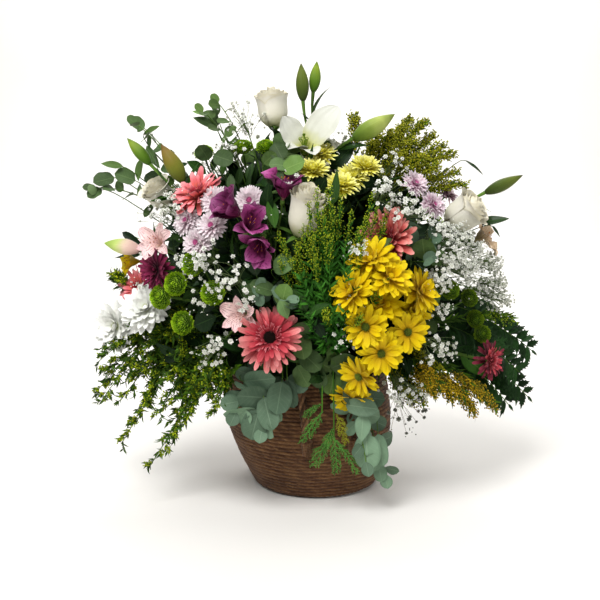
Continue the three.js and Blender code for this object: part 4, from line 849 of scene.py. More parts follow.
def alstroemeria(bag, head, facing, diameter, petal, flare, girth, spin):
    """An alstroemeria: three broad and three slim petals about a few stamens."""
    frame = stand(head - unit(facing) * diameter * 0.3, facing, spin)
    long = diameter * 0.92
    wide = [blade(long, diameter * w * girth, "petal", 1.4, c - flare, 0.4, 0.06, 0.24, 3, 12, 6)
            for w, c in ((0.68, -0.8), (0.6, -0.4), (0.72, -1.15))]
    slim = [blade(long * 0.95, diameter * 0.3, "petal", 1.3, c - flare, 0.25, 0.1, 0.08, 2, 10, 4)
        for c in (-1.0, -0.6)]
    whorl(bag, frame, wide, petal, 3, 2, 0, 0, 0, 0.04, (0.92, 1.04), 0.08)
    whorl(bag, frame, slim, petal, 3, 1.5, 0, 1, math.pi / 3, 0.04, (0.92, 1.04), 0.08)
    for k in range(5):
        tip = [math.cos(k * 1.26) * 5, math.sin(k * 1.26) * 5, long * 0.6]
        bag.put(tube(bezier([0, 0, 2], [0, 0, long * 0.3], tip, steps=5), 0.45, 4), petal, frame)
        bag.put(grain(3.4, 1.8), "anther", frame @ shift(*tip)[0])
    bag.put(shank([[1.5, -8], [3.2, -5], [3.2, 0]]), "calyx", frame)


# ---------------------------------------------------------------- filler and greenery
def rosette(radius):
    """A gypsophila floret: two rings of small notched petals."""
    rings = []
    for scale, lift, phase in ((0.9, -0.5, 0), (1, 0.15, 0.6), (0.85, 0.75, 0.2), (0.6, 1.25, 0.9)):
        petal = blade(radius * scale, radius * scale * 0.95, "petal", lift, 0.35, 0.35, rows=2, cols=1)
        rings += [moved(petal, turn("z", phase + k * 2 * np.pi / 5)[0]) for k in range(5)]
    return joined(*rings)


FLORETS = [rosette(4.1), rosette(3.4)]


def cloud(bag, root, tip, count, reach, petal="floret_white", thread="fine_stalk", large=1.0):
    """A cloud of florets on hair-thin stalks that leave the twig's end."""
    rng = bag.rng
    away = outward(tip)
    ways = unit(away * 0.9 + 0.85 * rng.normal(size=(count, 3)))
    spots = tip + ways * reach * (rng.random((count, 1)) ** 0.5) * [1, 1, 0.85]
    starts = tip - away * 14 + rng.normal(size=(count, 3)) * 3 - unit(tip - root) * 6
    for spot, start in zip(spots, starts):
        way = np.array([start, (start + spot) / 2 + [0, 0, 2], spot - unit(spot - start)])
        bag.put(tube(way, 0.28, 3), thread)
    facing = unit(spots - starts + 0.35 * rng.normal(size=(count, 3)))
    frames = lay(spots, np.cross(facing, [0.2, 0.1, 1]), facing)
    half = count // 2
    bag.put(FLORETS[0], petal, frames[:half] @ size(large * rng.uniform(0.8, 1.15, size=half)))
    bag.put(FLORETS[1], petal, frames[half:] @ size(large * rng.uniform(0.7, 1.15, size=count - half)))
    small = tip + unit(away + rng.normal(size=(12, 3))) * reach * 0.95
    bag.put(grain(3, 2), petal, lay(small, rng.normal(size=(12, 3)), unit(small - tip)), spread=0.5)


def twigs(bag, tips, share, radius=1.9):
    """The stem of a branch and a twig to each tip; gives each twig's points."""
    tips = np.array(tips)
    middle = tips.mean(0)
    fork = middle + (GATHERING - middle) * share
    fork[2] = max(fork[2], LOWEST_FORK)
    bag.put(tube(stem_way(fork, middle - fork, 8), radius, 6), "stem")
    result = []
    for tip in tips:
        reach = np.linalg.norm(tip - fork)
        bend = (fork + tip) / 2 + [0, 0, 0.22 * reach] + outward(tip) * 0.1 * reach
        result.append(bezier(fork, bend, tip, steps=14))
        stalk(bag, result[-1], radius * 0.8, 0.7)
    return result


def spots_on(path, first, last, count):
    return np.array([along_way(path, t)[0] for t in np.linspace(first, last, count)])


def plume(bag, twig, buds, branches, long, start, droop, dots, bud_size, leaves, lift, looks, blade_long):
    """Arching branchlets set with rows of small buds, and narrow leaves below and between them."""
    rng = bag.rng
    small, narrow = grain(*bud_size), blade(blade_long, 3.6, "lance", 0.1, -0.5, 0.1, 0.2, rows=5)
    for k in range(branches):
        q = k / (branches - 1)
        at, along = along_way(twig, start + (1 - start) * q)
        side = unit(aside(along, k, 0.3, GOLDEN) + 0.45 * toward(at) + [0, 0, lift])
        reach = long * (1 - 0.7 * q) * rng.uniform(0.7, 1.15)
        bent = at + along * reach * 0.5 + side * reach * 0.42 + [0, 0, reach * 0.12]
        tip = at + along * reach * 0.85 + side * reach * 0.7 + np.array([0, 0, reach * (lift * 0.4 - droop)])
        path = bezier(at, bent, tip, steps=6)
        bag.put(tube(path, 0.4, 3), looks)
        n = max(6, int(dots * reach / long))
        spots = spots_on(path, 0.1, 1, n) + rng.normal(size=(n, 3)) * 1.5
        up = unit(rng.normal(size=(n, 3)) * 0.6 + along + outward(at) * 0.6)
        bag.put(small, buds, lay(spots, np.cross(up, [0.3, 1, 0.1]), up) @ size(rng.uniform(0.7, 1.25, size=n)))
    low = start * 0.5
    for k in range(leaves):
        at, along = along_way(twig, min(0.98, low + (1 - low) * k / leaves))
        side = unit(aside(along, k, 0.3) + 0.5 * toward(at))
        frame = lay(at, along + side, toward(at) + 0.3 * rng.normal(size=3))
        bag.put(narrow, looks, frame @ size(rng.uniform(0.7, 1.25)))


def leafy(bag, way, looks, buds, leaf, start, shoots, long):
    """Short side shoots with small leaves all along them and, on two of three, a clump of buds at the tip."""
    rng, clump = bag.rng, (24, 3)
    narrow = [blade(leaf, leaf * 0.28, "lance", 0.1, c, 0.1, 0.2, rows=4) for c in (-0.8, 0.3)]
    for k in range(shoots):
        at, along = along_way(way, start + (1 - start) * (k + rng.random()) / shoots)
        side = unit(np.cross(along, rng.normal(size=3)) + 0.3 * toward(at))
        reach = long * rng.uniform(0.5, 1.1) * (1 - 0.45 * k / shoots)
        tip = at + (along * 0.8 + side * 0.7) * reach + [0, 0, reach * rng.uniform(-0.25, 0.3)]
        path = bezier(at, at + (along * 0.3 + side * 0.5) * reach, tip, steps=5)
        bag.put(tube(path, 0.5, 3), looks)
        for n in range(9):
            spot, ahead = along_way(path, (n + 0.5) / 9)
            point = ahead + 0.9 * unit(np.cross(ahead, rng.normal(size=3)))
            frame = lay(spot, point, toward(spot) + 0.5 * rng.normal(size=3))
            bag.put(narrow[n % 2], looks, frame @ size((1.75 - 0.85 * k / shoots) * rng.uniform(0.6, 1.15)))
        if k % 3:
            spots = spots_on(path, 0.5, 1.05, clump[0]) + rng.normal(size=clump) * 1.7
            frames = lay(spots, rng.normal(size=clump), rng.normal(size=clump))
            bag.put(grain(3.6, 2.6), buds, frames @ size(rng.uniform(0.7, 1.2, size=clump[0])))


def over_rim(tip, share=0.36):
    """The way of a twig that comes over the rim and arches down to its tip."""
    root = GATHERING + (tip - GATHERING) * share + [0, 0, 0.12 * np.linalg.norm(tip - GATHERING)]
    flat = (root - [RIM_LEAN, 0, 0]) * FLAT
    root = root + flat / np.linalg.norm(flat) * max(0, RIM_CLEARANCE - np.linalg.norm(flat))
    root[2] = max(root[2], RIM_WAY)
    reach = np.linalg.norm(tip - root)
    rest = bezier(root, (root + tip) / 2 + [0, 0, 0.25 * reach], tip, steps=14)
    inner = GATHERING * FLAT + (root - GATHERING) * [0.45, 0.45, 0] + [0, 0, FOAM_TOP - 4]
    return np.vstack([bezier(inner, inner + [0, 0, 30], root, steps=5)[:-1], rest])


def finger(bag, path, looks, thick=1.7):
    """A scale-leaved finger: a chain of small scales that lie to either side in turn."""
    length = np.sum(np.linalg.norm(np.diff(path, axis=0), axis=1))
    n = max(4, int(length / 1.5))
    stalk(bag, path, thick * 0.4, thick * 0.25, looks, 4)
    for k in range(n):
        at, along = along_way(path, (k + 0.3) / n)
        out = unit(np.cross(along, toward(at))) * (1 if k % 2 else -1)
        bag.put(grain(thick * 1.7, thick * 0.8), looks, lay(at, np.cross(along, out), along + 0.62 * out))


def frond(bag, start, end, looks, long):
    """A flat frond of scale-leaved fingers on either side of its stalk, with smaller ones on them."""
    rng, fingers = bag.rng, 10
    way = bezier(start, (start + end) / 2 + [0, -4, 6.0], end, steps=10)
    finger(bag, way, looks, 1.9)
    for k in range(fingers):
        q = (k + 0.5) / fingers
        at, along = along_way(way, 0.12 + 0.85 * q)
        side = unit(np.cross(along, toward(at))) * (1 if k % 2 else -1)
        reach = 1.45 * long * math.sin(math.pi * (0.3 + 0.58 * q)) * rng.uniform(0.6, 1.15)
        tip = at + unit(along + rng.uniform(0.4, 0.7) * side) * reach + [0, 0, -0.1 * reach]
        path = bezier(at, at + unit(0.6 * along + side) * reach * 0.45, tip, steps=5)
        finger(bag, path, looks)
        for n in range(min(3, int(reach / 8))):
            base, ahead = along_way(path, 0.2 + 0.22 * n)
            side = unit(np.cross(ahead, toward(base))) * (1 if n % 2 else -1)
            small = reach * (0.62 - 0.1 * n)
            bend, tip = base + (ahead + 0.7 * side) * small * 0.3, base + (ahead + 0.34 * side) * small * 0.8
            finger(bag, bezier(base, bend, tip, steps=3), looks, 1.35)


def fern(bag, tip):
    """A leathery fern leaf: two rows of overlapping leaflets, themselves toothed."""
    width, pairs = 46, 22
    way = over_rim(tip, 0.42)
    stalk(bag, way, 1.6, 0.7)
    normal = unit(np.array([0.25, -0.75 if tip[1] < FRONT_UNTIL else 0.75, 0.6]))
    teeth = [(1.0, 0.34, 0, 0)] + [(long, wide, x, sign * angle) for long, wide, x, angle in (
        (0.36, 0.17, 0.14, 0.7), (0.35, 0.16, 0.34, 0.62), (0.28, 0.13, 0.54, 0.55)) for sign in (1, -1)]
    leaflet = joined(*(
        moved(blade(long, wide, "lance", 0, -0.2, 0.1, 0.2, 0.06, 4, 6, 2),
            shift(x, 0, 0)[0] @ turn("z", angle)[0])
        for long, wide, x, angle in teeth))
    for k in range(pairs):
        q = (k + 0.5) / pairs
        at, along = along_way(way, 0.3 + 0.69 * q)
        side = unit(np.cross(normal, along))
        for sign in (-1, 1):
            long = width * 0.95 * math.sin(math.pi * (0.28 + 0.5 * q)) ** 0.8 * bag.rng.uniform(0.85, 1.1)
            frame = lay(at, sign * side + along * 0.55, normal + 0.2 * bag.rng.normal(size=3))
            bag.put(leaflet, "fern_leaf", frame @ size(long))
    bag.put(leaflet, "fern_leaf", lay(way[-1], way[-1] - way[-2], normal) @ size(15))


def round_leaves(bag, twig, diameter, count, leaf):
    """Round leaves on short stalks to either side of a twig in turn, smaller toward its tip."""
    rng = bag.rng
    shapes = [blade(diameter, diameter * 0.86, look, 0.15, c, 0.12, 0.05, 0.03, 2, 9, 6)
              for look, c in (("round", -0.35), ("broad" if diameter > 30 else "round", 0.1), ("round", -0.6))]
    for k in range(count):
        at, along = along_way(twig, 0.4 + (0.96 - 0.4) * k / (count - 1))
        side = unit(np.cross(outward(at), along)) * (1 if k % 2 else -1)
        point = unit(side + 0.55 * along + 0.25 * rng.normal(size=3))
        grown = 0.62 + 0.42 * (1 - k / count)
        bag.put(tube([at, at + point * 4], 0.5, 4), "stem")
        frame = lay(at + point * 3, point, toward(at) + 0.35 * rng.normal(size=3))
        bag.put(shapes[k % 3], leaf, frame @ size(grown * rng.uniform(0.85, 1.1)))
    at, along = along_way(twig, 1.0)
    bag.put(shapes[1], leaf, lay(at, along, toward(at)) @ size(0.65))


# ---------------------------------------------------------------- basket, handles, foam
def wall_radius(h):
    h = np.asarray(h, float)
    low = BASE_EDGE_RADIUS + (BELLY_RADIUS - BASE_EDGE_RADIUS) * np.sin(np.pi / 2
        * np.clip(h / BELLY_HEIGHT, 0, 1))
    high = BELLY_RADIUS - (BELLY_RADIUS - RIM_RADIUS) * ((h - BELLY_HEIGHT) / (RIM_HEIGHT - BELLY_HEIGHT)) ** 2
    return np.where(h < BELLY_HEIGHT, low, high)


def coiled(r, z, sides, relief):
    """Coiled rows of two-ply rope along a profile of radius and height, turned about the leaning axis."""
    r, z = np.asarray(r, float), np.asarray(z, float)
    step = np.hypot(np.gradient(r), np.gradient(z))
    nr, nz = np.gradient(z) / step, -np.gradient(r) / step
    s = np.concatenate([[0], np.cumsum(np.hypot(np.diff(r), np.diff(z)))])
    a = np.arange(sides) * 2 * np.pi / sides
    wander = COIL_PITCH * a / (2 * np.pi) + 1.1 * np.sin(2 * a + 0.6) + 0.5 * np.sin(7 * a + 1.1)
    row, f = np.divmod((s[:, None] + wander) / COIL_PITCH, 1.0)
    length = np.maximum(r, 20)[:, None] * a[None, :]
    ply = length / (COIL_TWIST / 2) + 1.15 * (f - 0.5) + row * 0.37
    number, part = np.divmod(ply, 1.0)
    strand = 0.48 + 0.52 * np.abs(np.sin(np.pi * part)) ** 0.6
    across_row = np.sqrt(np.clip(1 - (2 * f - 1) ** 2, 0, 1))
    wobble = 0.35 * np.sin(length / 23 + row * 1.9) + 0.25 * np.sin(length / 61 + row)
    height = relief * (across_row * strand * 1.35 - 0.4) + wobble * 0.6
    rr, zz = r[:, None] + nr[:, None] * height, z[:, None] + nz[:, None] * height
    verts = np.stack([rr * np.cos(a) + RIM_LEAN * zz / RIM_HEIGHT, rr * np.sin(a), zz], -1).reshape(-1, 3)
    tone = np.modf(np.abs(np.sin(number * 12.9898 + row * 78.233)) * 437.585)[0]
    # The last field runs from 1 on the crown of each ply to 0 in the grooves; the seagrass material paints shade
    # into the grooves from it.
    return (verts, ring_faces(len(r), sides), f.ravel(), (across_row**1.5 * strand).ravel()), tone.ravel()


def basket():
    """The wall, its rounded rim, its inner face, the base and the floor inside, and some loose ends."""
    bag = Bag("basket_woven", "seagrass_coil", "basket")

    def coil(r, z, sides, relief=1.8):
        shape, tone = coiled(r, z, sides, relief)
        bag.put(shape, "seagrass", tone=tone)

    shoulder = RIM_HEIGHT - 3
    h = np.linspace(5, shoulder, 160)
    coil(wall_radius(h), h, 430)
    over = np.linspace(0, np.pi, 14)
    middle = wall_radius(RIM_HEIGHT) - WALL / 2
    coil(middle + (WALL / 2) * np.cos(over), shoulder + 3.4 * np.sin(over), 430, 1.1)
    h = np.linspace(shoulder, FLOOR_TOP, 60)
    coil(wall_radius(h) - WALL, h, 150, 0.5)
    edge = np.linspace(0.15, np.pi / 2, 8)
    r = np.concatenate([np.linspace(2, BASE_RADIUS, 54), BASE_RADIUS + 11 * np.sin(edge)])
    coil(r, np.concatenate([np.full(54, 1.6), 1.6 + 4 * (1 - np.cos(edge))]), 170, 1.2)
    coil(np.linspace(BASE_EDGE_RADIUS - WALL, 2, 20), np.full(20, FLOOR_TOP), 90, 0.3)
    for k in range(-6, 12):
        h, a = 60 + 6 * (k % 9), 0.25 * k - 1.9
        r = float(wall_radius(h)) + 1.6
        at = np.array([r * math.cos(a) + RIM_LEAN * h / RIM_HEIGHT, r * math.sin(a), h])
        out = np.array([math.cos(a), math.sin(a), 0.2])
        loose = bezier(at, at + out * 2.4, at + out * 1.5 + [2, 0, 5], steps=4)
        bag.put(tube(loose, [0.5, 0.45, 0.4, 0.3, 0.15], 4), "seagrass", tone=0.9)


def smooth_way(points, steps):
    """A Catmull-Rom curve through the points."""
    p = np.vstack([2 * points[0] - points[1], points, 2 * points[-1] - points[-2]])
    out = []
    for k in range(1, len(p) - 2):
        t = np.linspace(0, 1, steps, endpoint=False)[:, None]
        a, b, c, d = p[k - 1:k + 3]
        out.append(0.5 * (2 * b + (c - a) * t + (2 * a - 5 * b + 4 * c - d) * t**2 + (3 * b - a - 3 * c + d)
            * t**3))
    return np.vstack(out + [p[-2][None]])


def handle(name, azimuth):
    """A bow of three-strand rope on the wall, with a wrapped foot at each end."""
    bag = Bag(name + "_twisted", "seagrass_rope", name)

    def on_wall(side, h, away=0.0):
        a = math.radians(azimuth) + side * HANDLE_SPREAD
        reach = float(wall_radius(min(h, RIM_HEIGHT))) + ROPE_RADIUS + 0.2 + away
        return np.array([reach * math.sin(a) + RIM_LEAN * h / RIM_HEIGHT, -reach * math.cos(a), h])

    legs = (HANDLE_FOOT, 120, 155, 188)
    points = [on_wall(-1, h) for h in legs] + [on_wall(-0.7, 201), on_wall(0, HANDLE_TOP), on_wall(0.7, 201)]
    way = smooth_way(np.array(points + [on_wall(1, h) for h in legs[::-1]]), 16)
    tangent = unit(np.gradient(way, axis=0))
    normal, normals = np.array([0.0, 0, 1]), []
    for d in tangent:
        normal = unit(normal - (normal @ d) * d)
        normals.append(normal)
    normals = np.array(normals)
    others = np.cross(tangent, normals)
    turns = np.linspace(0, 2 * np.pi * ROPE_TURNS, len(way))[:, None]
    for k in range(3):
        phase = turns + k * 2 * np.pi / 3
        strand = way + STRAND_REACH * (np.cos(phase) * normals + np.sin(phase) * others)
        bag.put(tube(strand, STRAND_RADIUS, 10), "rope", tone=0.2 + 0.3 * k)
    for side in (-1, 1):
        a, b = on_wall(side, WRAP_FOOT, 2.4), on_wall(side, WRAP_TOP, 2.4)
        core = tube(np.array([a, a * 0.6 + b * 0.4, b]), [WRAP_RADIUS, WRAP_RADIUS + 0.3, WRAP_RADIUS], 16)
        bag.put(core, "rope", tone=0.3)
        for end, way_in in ((a, a - b), (b, b - a)):
            bag.put(shank([[WRAP_RADIUS, 0], [4.5, 1.2]], 16), "rope", stand(end, way_in), tone=0.3)
        axis = unit(b - a)
        x = unit(np.cross(axis, [0, 1, 0.1]))
        y = np.cross(axis, x)
        t = np.linspace(0, 1, 150)[:, None]
        phase = t * 2 * np.pi * WRAP_TURNS
        ring = a + (b - a) * t + (WRAP_RADIUS + 0.5) * (np.cos(phase) * x + np.sin(phase) * y)
        bag.put(tube(ring, 1.25, 6), "rope", tone=0.6)


def foam():
    """The block of foam: it follows the wall and has a rounded top edge."""
    bag = Bag("foam_block", "wet_foam", "foam")
    h = np.linspace(FOAM_FOOT, FOAM_TOP - FOAM_ROUNDING, 24)
    r = wall_radius(np.minimum(h, RIM_HEIGHT)) - FOAM_GAP
    bend = np.linspace(0, np.pi / 2, 7)[1:]
    edge = r[-1]
    corner = edge - FOAM_ROUNDING * (1 - np.cos(bend))
    r = np.concatenate([[0.1], r, corner, np.linspace(edge - 2 * FOAM_ROUNDING, 0.1, 6)])
    top = FOAM_TOP - FOAM_ROUNDING + FOAM_ROUNDING * np.sin(bend)
    h = np.concatenate([[FOAM_FOOT], h, top, np.full(6, FOAM_TOP)])
    verts, faces, along, across = turned(np.stack([r, h], 1), 48)
    verts[:, 0] += RIM_LEAN * verts[:, 2] / RIM_HEIGHT
    bag.put((verts, faces, along, across), "wet_foam")


basket()
handle("handle_front", 13)
handle("handle_back", 193)
foam()
liner = bpy.data.objects.get("liner") or frame["nodes"]["liner"]
liner.material_slots[0].material = made("liner_film")

# ---------------------------------------------------------------- single flowers
ROSES = [
    ("rose_top", seen(272, 106, 50), (-0.1, -0.16, 1), 58, 62, 0.12, 0.2),
    ("rose_centre", seen(306, 209, 178), (0.2, -0.4, 0.9), 56, 88, 0.24, 0.9),
    ("rose_right", seen(466, 212, 40), (0.72, -0.38, 0.58), 62, 72, 0.3, 0.0),
    ("rose_left", seen(158, 192, 35), (-0.5, -0.4, 0.75), 50, 52, 0.4, 0.0),
    ("rose_back", around(168, 52), (0.1, 0.7, 0.75), 58, 64, 0.7, 0.0),
]
for name, head, facing, diameter, height, openness, spin in ROSES:
    rose(Bag(name + "_petals", "rose_cream", name), head, facing, diameter, height, openness, spin)

GERBERAS = [
    ("gerbera_front", "gerbera_coral", on_dome(270, 338, 14), (-0.05, -0.92, 0.35), 102, "gerbera_coral", 0.1),
    ("gerbera_right", "gerbera_coral_red", on_dome(390, 241, -14), (-0.62, -0.72, 0.22), 104,
        "gerbera_coral_red", 0.46),
    ("gerbera_upper_left", "gerbera_coral", on_dome(198, 196, 2), (-0.45, -0.55, 0.7), 90, "gerbera_pink", 0.3),
    ("gerbera_left", "gerbera_coral", on_dome(141, 289, 2), (-0.65, -0.7, 0.3), 80, "gerbera_pink", 0.3),
    ("gerbera_far_right", "gerbera_dark_red", seen(489, 360, 60), (0.7, -0.7, 0.15), 66, "gerbera_dark_red",
        0.2),
    ("gerbera_back", "gerbera_coral", around(196, 12, 2), (-0.2, 0.95, 0.25), 96, "gerbera_coral", 0.12),
]
for name, slot, head, facing, diameter, outer, flat in GERBERAS:
    bag = Bag(name + "_bloom", slot, name)
    inner, eye = "gerbera_coral_inner" if flat < 0.3 else outer, "dark_disc" if flat < 0.15 else "red_disc"
    broad, full = 1.45 if name == "gerbera_upper_left" else 1.0, 1.3 if name == "gerbera_right" else 1.0
    gerbera(bag, head, facing, diameter, outer, inner, flat, eye, broad, full)

LILY_HEAD = seen(305, 152, 100)
LILY_PETALS = [
    (seen(339, 106, 92), 44, -0.5, (-0.5, -1, 0.1)), (seen(282, 116, 104), 40, 0.55, (0.6, -1, 0.3)),
    (LILY_HEAD + [26, 50, 22], 30, -0.9, (0, -0.4, 1)), (LILY_HEAD + [-28, 46, 18], 30, -0.9, (0, -0.4, 1)),
    (LILY_HEAD + [-24, -34, 4], 28, -1.1, (0, -0.3, 1)), (LILY_HEAD + [14, -40, -4], 28, -1.1, (0, -0.3, 1)),
]
lily(Bag("lily_flower_open", "lily_white", "lily_flower"), LILY_HEAD, (-0.1, -0.35, 0.9), LILY_PETALS)

BUDS = {
    "lily_buds_top": [(seen(301, 63, 44), seen(303, 102, 48), 18, "lily_bud_olive"),
        (seen(317, 61, 30), seen(313, 93, 36), 16, "lily_bud_green"),
        (seen(395, 114, 88), seen(352, 139, 84), 25, "lily_bud")],
    "lily_buds_left": [(seen(161, 144, 66), seen(184, 183, 66), 24, "lily_bud_brown"),
        (seen(127, 138, 40), seen(151, 165, 46), 17, "lily_bud_green")],
    "lily_bud_low_left": [(seen(104, 243, 62), seen(141, 250, 74), 22, "lily_bud_pink")],
    "lily_bud_right": [(seen(523, 175, 16), seen(484, 193, 10), 18, "lily_bud_olive")],
}
for name, buds in BUDS.items():
    bag = Bag(name + "_closed", "lily_bud_green", name)
    bases = np.array([b for _, b, _, _ in buds])
    middle = bases.mean(0)
    fork = middle + (STEM_ENTRY - middle) * 0.3
    way = stem_way(fork, middle - fork)
    bag.put(tube(way, 2.4, 7), "stem")
    for tip, base, width, look in buds:
        bud(bag, tip, base, width, look)
        reach = np.linalg.norm(base - fork)
        into = unit(tip - base)
        twig = bezier(fork, fork + 0.35 * reach * unit(middle - fork), base - 0.35 * reach * into,
            base + into * 1.5)
        bag.put(tube(twig, [1.9] * 7 + [2.2, 3], 6), "stem")
        leaf = blade(52, 12, "lance", 0.3, -0.8, 0.1, 0.12, 0.03, 3, 10, 4)
        stem_leaves(bag, twig, [leaf], "lily_leaf", 3, between=(0.3, 0.8))

# ---------------------------------------------------------------- sprays of heads
MUM_LEAF = ([blade(26, 14, "oval", 0, -0.4, 0.1, 0.1, 0.1, 4, 7, 4)], "mum_leaf", 2, (0.7, 1.0), (0.3, 0.75))
D, W = on_dome, around
MUMS = {  # petal, rings, eye, its size, a petal's width, how far behind the head its stalk ends
    "white": ("white_petal", FULL_MUM, "white_petal", 0.06, 0.15, 0.17),
    "full_daisy": ("yellow_petal", FULL_DAISY, "yellow_petal", 0.08, 0.155, 0.15),
    "daisy": ("yellow_petal", DAISY, "green_disc", 0.15, 0.145, 0.15),
    "lemon": ("lemon_petal", LEMON_MUM, "lemon_petal", 0.08, 0.1, 0.15),
    "pink": ("pink_petal", OPEN_MUM, "pink_eye", 0.15, 0.095, 0.15),
    "lilac": ("lilac_petal", OPEN_MUM, "pink_eye", 0.13, 0.09, 0.15),
    "burgundy": ("burgundy_petal", FULL_MUM, "dark_disc", 0.1, 0.1, 0.17),
}
POMPONS = {"lime": "lime_petal", "olive": "olive_petal"}
ALSTROEMERIAS = {  # petal, how wide it opens, how broad its petals are
    "purple": ("purple_petal", 0, 1), "pale": ("pale_petal", 0.45, 0.72), "tan": ("tan_petal", 0.45, 0.72),
    "yellow": ("yellow_petal", 0.45, 0.72),
}
FACINGS = {  # the way each head looks, where the photograph shows it
    "daisies_upper": ((-0.4, -0.7, 0.7), (0.3, -0.75, 0.6), (-0.65, -0.65, 0.45), (-0.05, -0.85, 0.5),
        (0.75, -0.6, 0.35), (0.7, -0.65, -0.15)),
    "daisies_lower": ((-0.25, -1, 0.15), (0.3, -1, 0.1), (0.05, -1, -0.05), (-0.55, -0.6, -0.3),
        (-0.2, -0.7, -0.55)),
    "white_mums_left": ((-0.25, -0.8, 0.55), (-0.5, -0.85, 0.15)),
    "alstroemeria_purple": ((-0.7, -0.45, 0.6), (0.3, -0.75, 0.6), (-0.15, -0.75, -0.35), (0.12, -0.2, 1)),
}
TILTS = {"mums_lemon": (0, -0.3, 0.8), "pompons_top": (0, -0.3, 0.8), "pompons_right": (0, -0.6, 0.35)}
SPRAYS = [  # name, slot, kind, diameter, heads
    ("white_mums_left", "mum_white", "white", 76, [D(147, 309, 10), D(117, 326)]),
    ("white_mums_back", "mum_white", "white", 74, [W(148, 0, 4)]),
    ("daisies_upper", "daisy_yellow", "full_daisy", 66,
        [D(371, 260, 10), D(390, 277, 24), D(352, 292, 14), D(380, 303, 6), D(420, 291, 10), D(411, 316, -2)]),
    ("daisies_lower", "daisy_yellow", "daisy", 60,
        [D(366, 327, 24), D(407, 332, 18), D(381, 353, 34), D(360, 376, 22), D(352, 399, 14)]),
    ("daisies_back", "daisy_yellow", "daisy", 60, [W(228, 0, 6), W(218, -16, 6)]),
    ("mums_lemon", "mum_lemon", "lemon", 50,
        [D(320, 155), D(312, 171, 10), D(341, 186, 6), D(352, 178, -8), D(365, 168)]),
    ("mums_pink_left", "mum_pink", "pink", 44,
        [D(212, 226, 12), D(187, 221, 4), D(197, 243, 10), D(250, 201, 4), D(215, 201, 8)]),
    ("mums_pink_right", "mum_lilac", "lilac", 42, [D(415, 184), D(433, 205), D(447, 194, -8)]),
    ("mums_pink_back", "mum_pink", "pink", 46, [W(196, 44), W(209, 36, 2)]),
    ("pompons_left", "pompon_lime", "lime", 36,
        [D(193, 264, 12), D(176, 284, 12), D(161, 297, 16), D(183, 323, 12), D(213, 293, 10)]),
    ("pompons_top", "pompon_lime", "lime", 31, [D(243, 148), D(266, 148), D(204, 153, -20)]),
    ("pompons_right", "pompon_lime", "olive", 29,
        [D(450, 290, 10), D(469, 298, 8), D(475, 319, 10), D(482, 334, 4)]),
    ("pompons_back", "pompon_lime", "lime", 34, [W(128, 30, 2), W(117, 20, 2)]),
    ("alstroemeria_purple", "alstroemeria_purple", "purple", 53,
        [D(234, 210, 34), D(249, 226, 26), D(261, 243, 22), D(284, 189, 16)]),
    ("alstroemeria_pale_left", "alstroemeria_pale", "pale", 48, [D(158, 243, 10)]),
    ("alstroemeria_pale_centre", "alstroemeria_pale", "pale", 46, [D(243, 314, -2)]),
    ("alstroemeria_pale_right", "alstroemeria_pale", "tan", 46, [D(482, 238, -14)]),
    ("alstroemeria_yellow", "alstroemeria_yellow", "yellow", 40, [D(133, 261, 14)]),
    ("burgundy_mum", "mum_burgundy", "burgundy", 56, [D(157, 270, 14)]),
]
for name, slot, kind, diameter, heads in SPRAYS:
    bag = Bag(name + "_spray", slot, name)
    facings = [facing_of(bag, head) for head in heads]
    if name in FACINGS:
        facings = [unit(way) for way in FACINGS[name]]
    if name in TILTS:
        facings = [unit(0.5 * facing + TILTS[name]) for facing in facings]
    for k, (head, facing) in enumerate(zip(heads, facings)):
        spin = k * 1.1
        if kind in MUMS:
            *looks, neck = MUMS[kind]
            mum(bag, head, facing, diameter, *looks, spin)
            neck = neck * diameter
        elif kind in POMPONS:
            pompon(bag, head, facing, diameter, POMPONS[kind])
            neck = 0.4 * diameter
        else:
            alstroemeria(bag, head, facing, diameter, *ALSTROEMERIAS[kind], spin)
            neck = diameter * 0.3 + 7
    spray(bag, heads, facings, neck, MUM_LEAF)

# ---------------------------------------------------------------- filler and greenery
CLOUDS = {
    "gypsophila_top_left": [seen(243, 122, 66)],
    "gypsophila_left": [D(176, 212, 10), D(208, 262, 16)],
    "gypsophila_centre": [D(232, 280, 18), D(218, 348, 8)],
    "gypsophila_mid_right": [D(385, 192, 14), D(405, 214, 12)],
    "gypsophila_right": [D(450, 246, 14), D(477, 272, 12)],
    "gypsophila_low_right": [D(432, 345, 16), D(402, 388, 22), seen(403, 409, 132)],
    "gypsophila_back": [W(176, 28, 8)],
}
for name, tips in CLOUDS.items():
    bag = Bag(name + "_florets", "gypsophila_white", name)
    for tip, twig in zip(tips, twigs(bag, tips, 0.35, 1.6)):
        if tip is tips[-1] and name == "gypsophila_low_right":
            cloud(bag, twig[-2], tip, 19, 42, "floret_dry", "brown_stem")
        else:
            cloud(bag, twig[-2], tip, 38, 40)
    if name == "gypsophila_right":
        more = [D(438, 232, 10), D(456, 236, 14), D(470, 252, 16), D(487, 262, 12), D(462, 270, 20),
            D(444, 262, 14), D(492, 284, 14), D(478, 292, 16), D(497, 300, 10), D(436, 280, 8)]
        for tip, twig in zip(more, twigs(bag, more, 0.35, 1.4)):
            cloud(bag, twig[-2], tip, 64, 26, large=0.86)

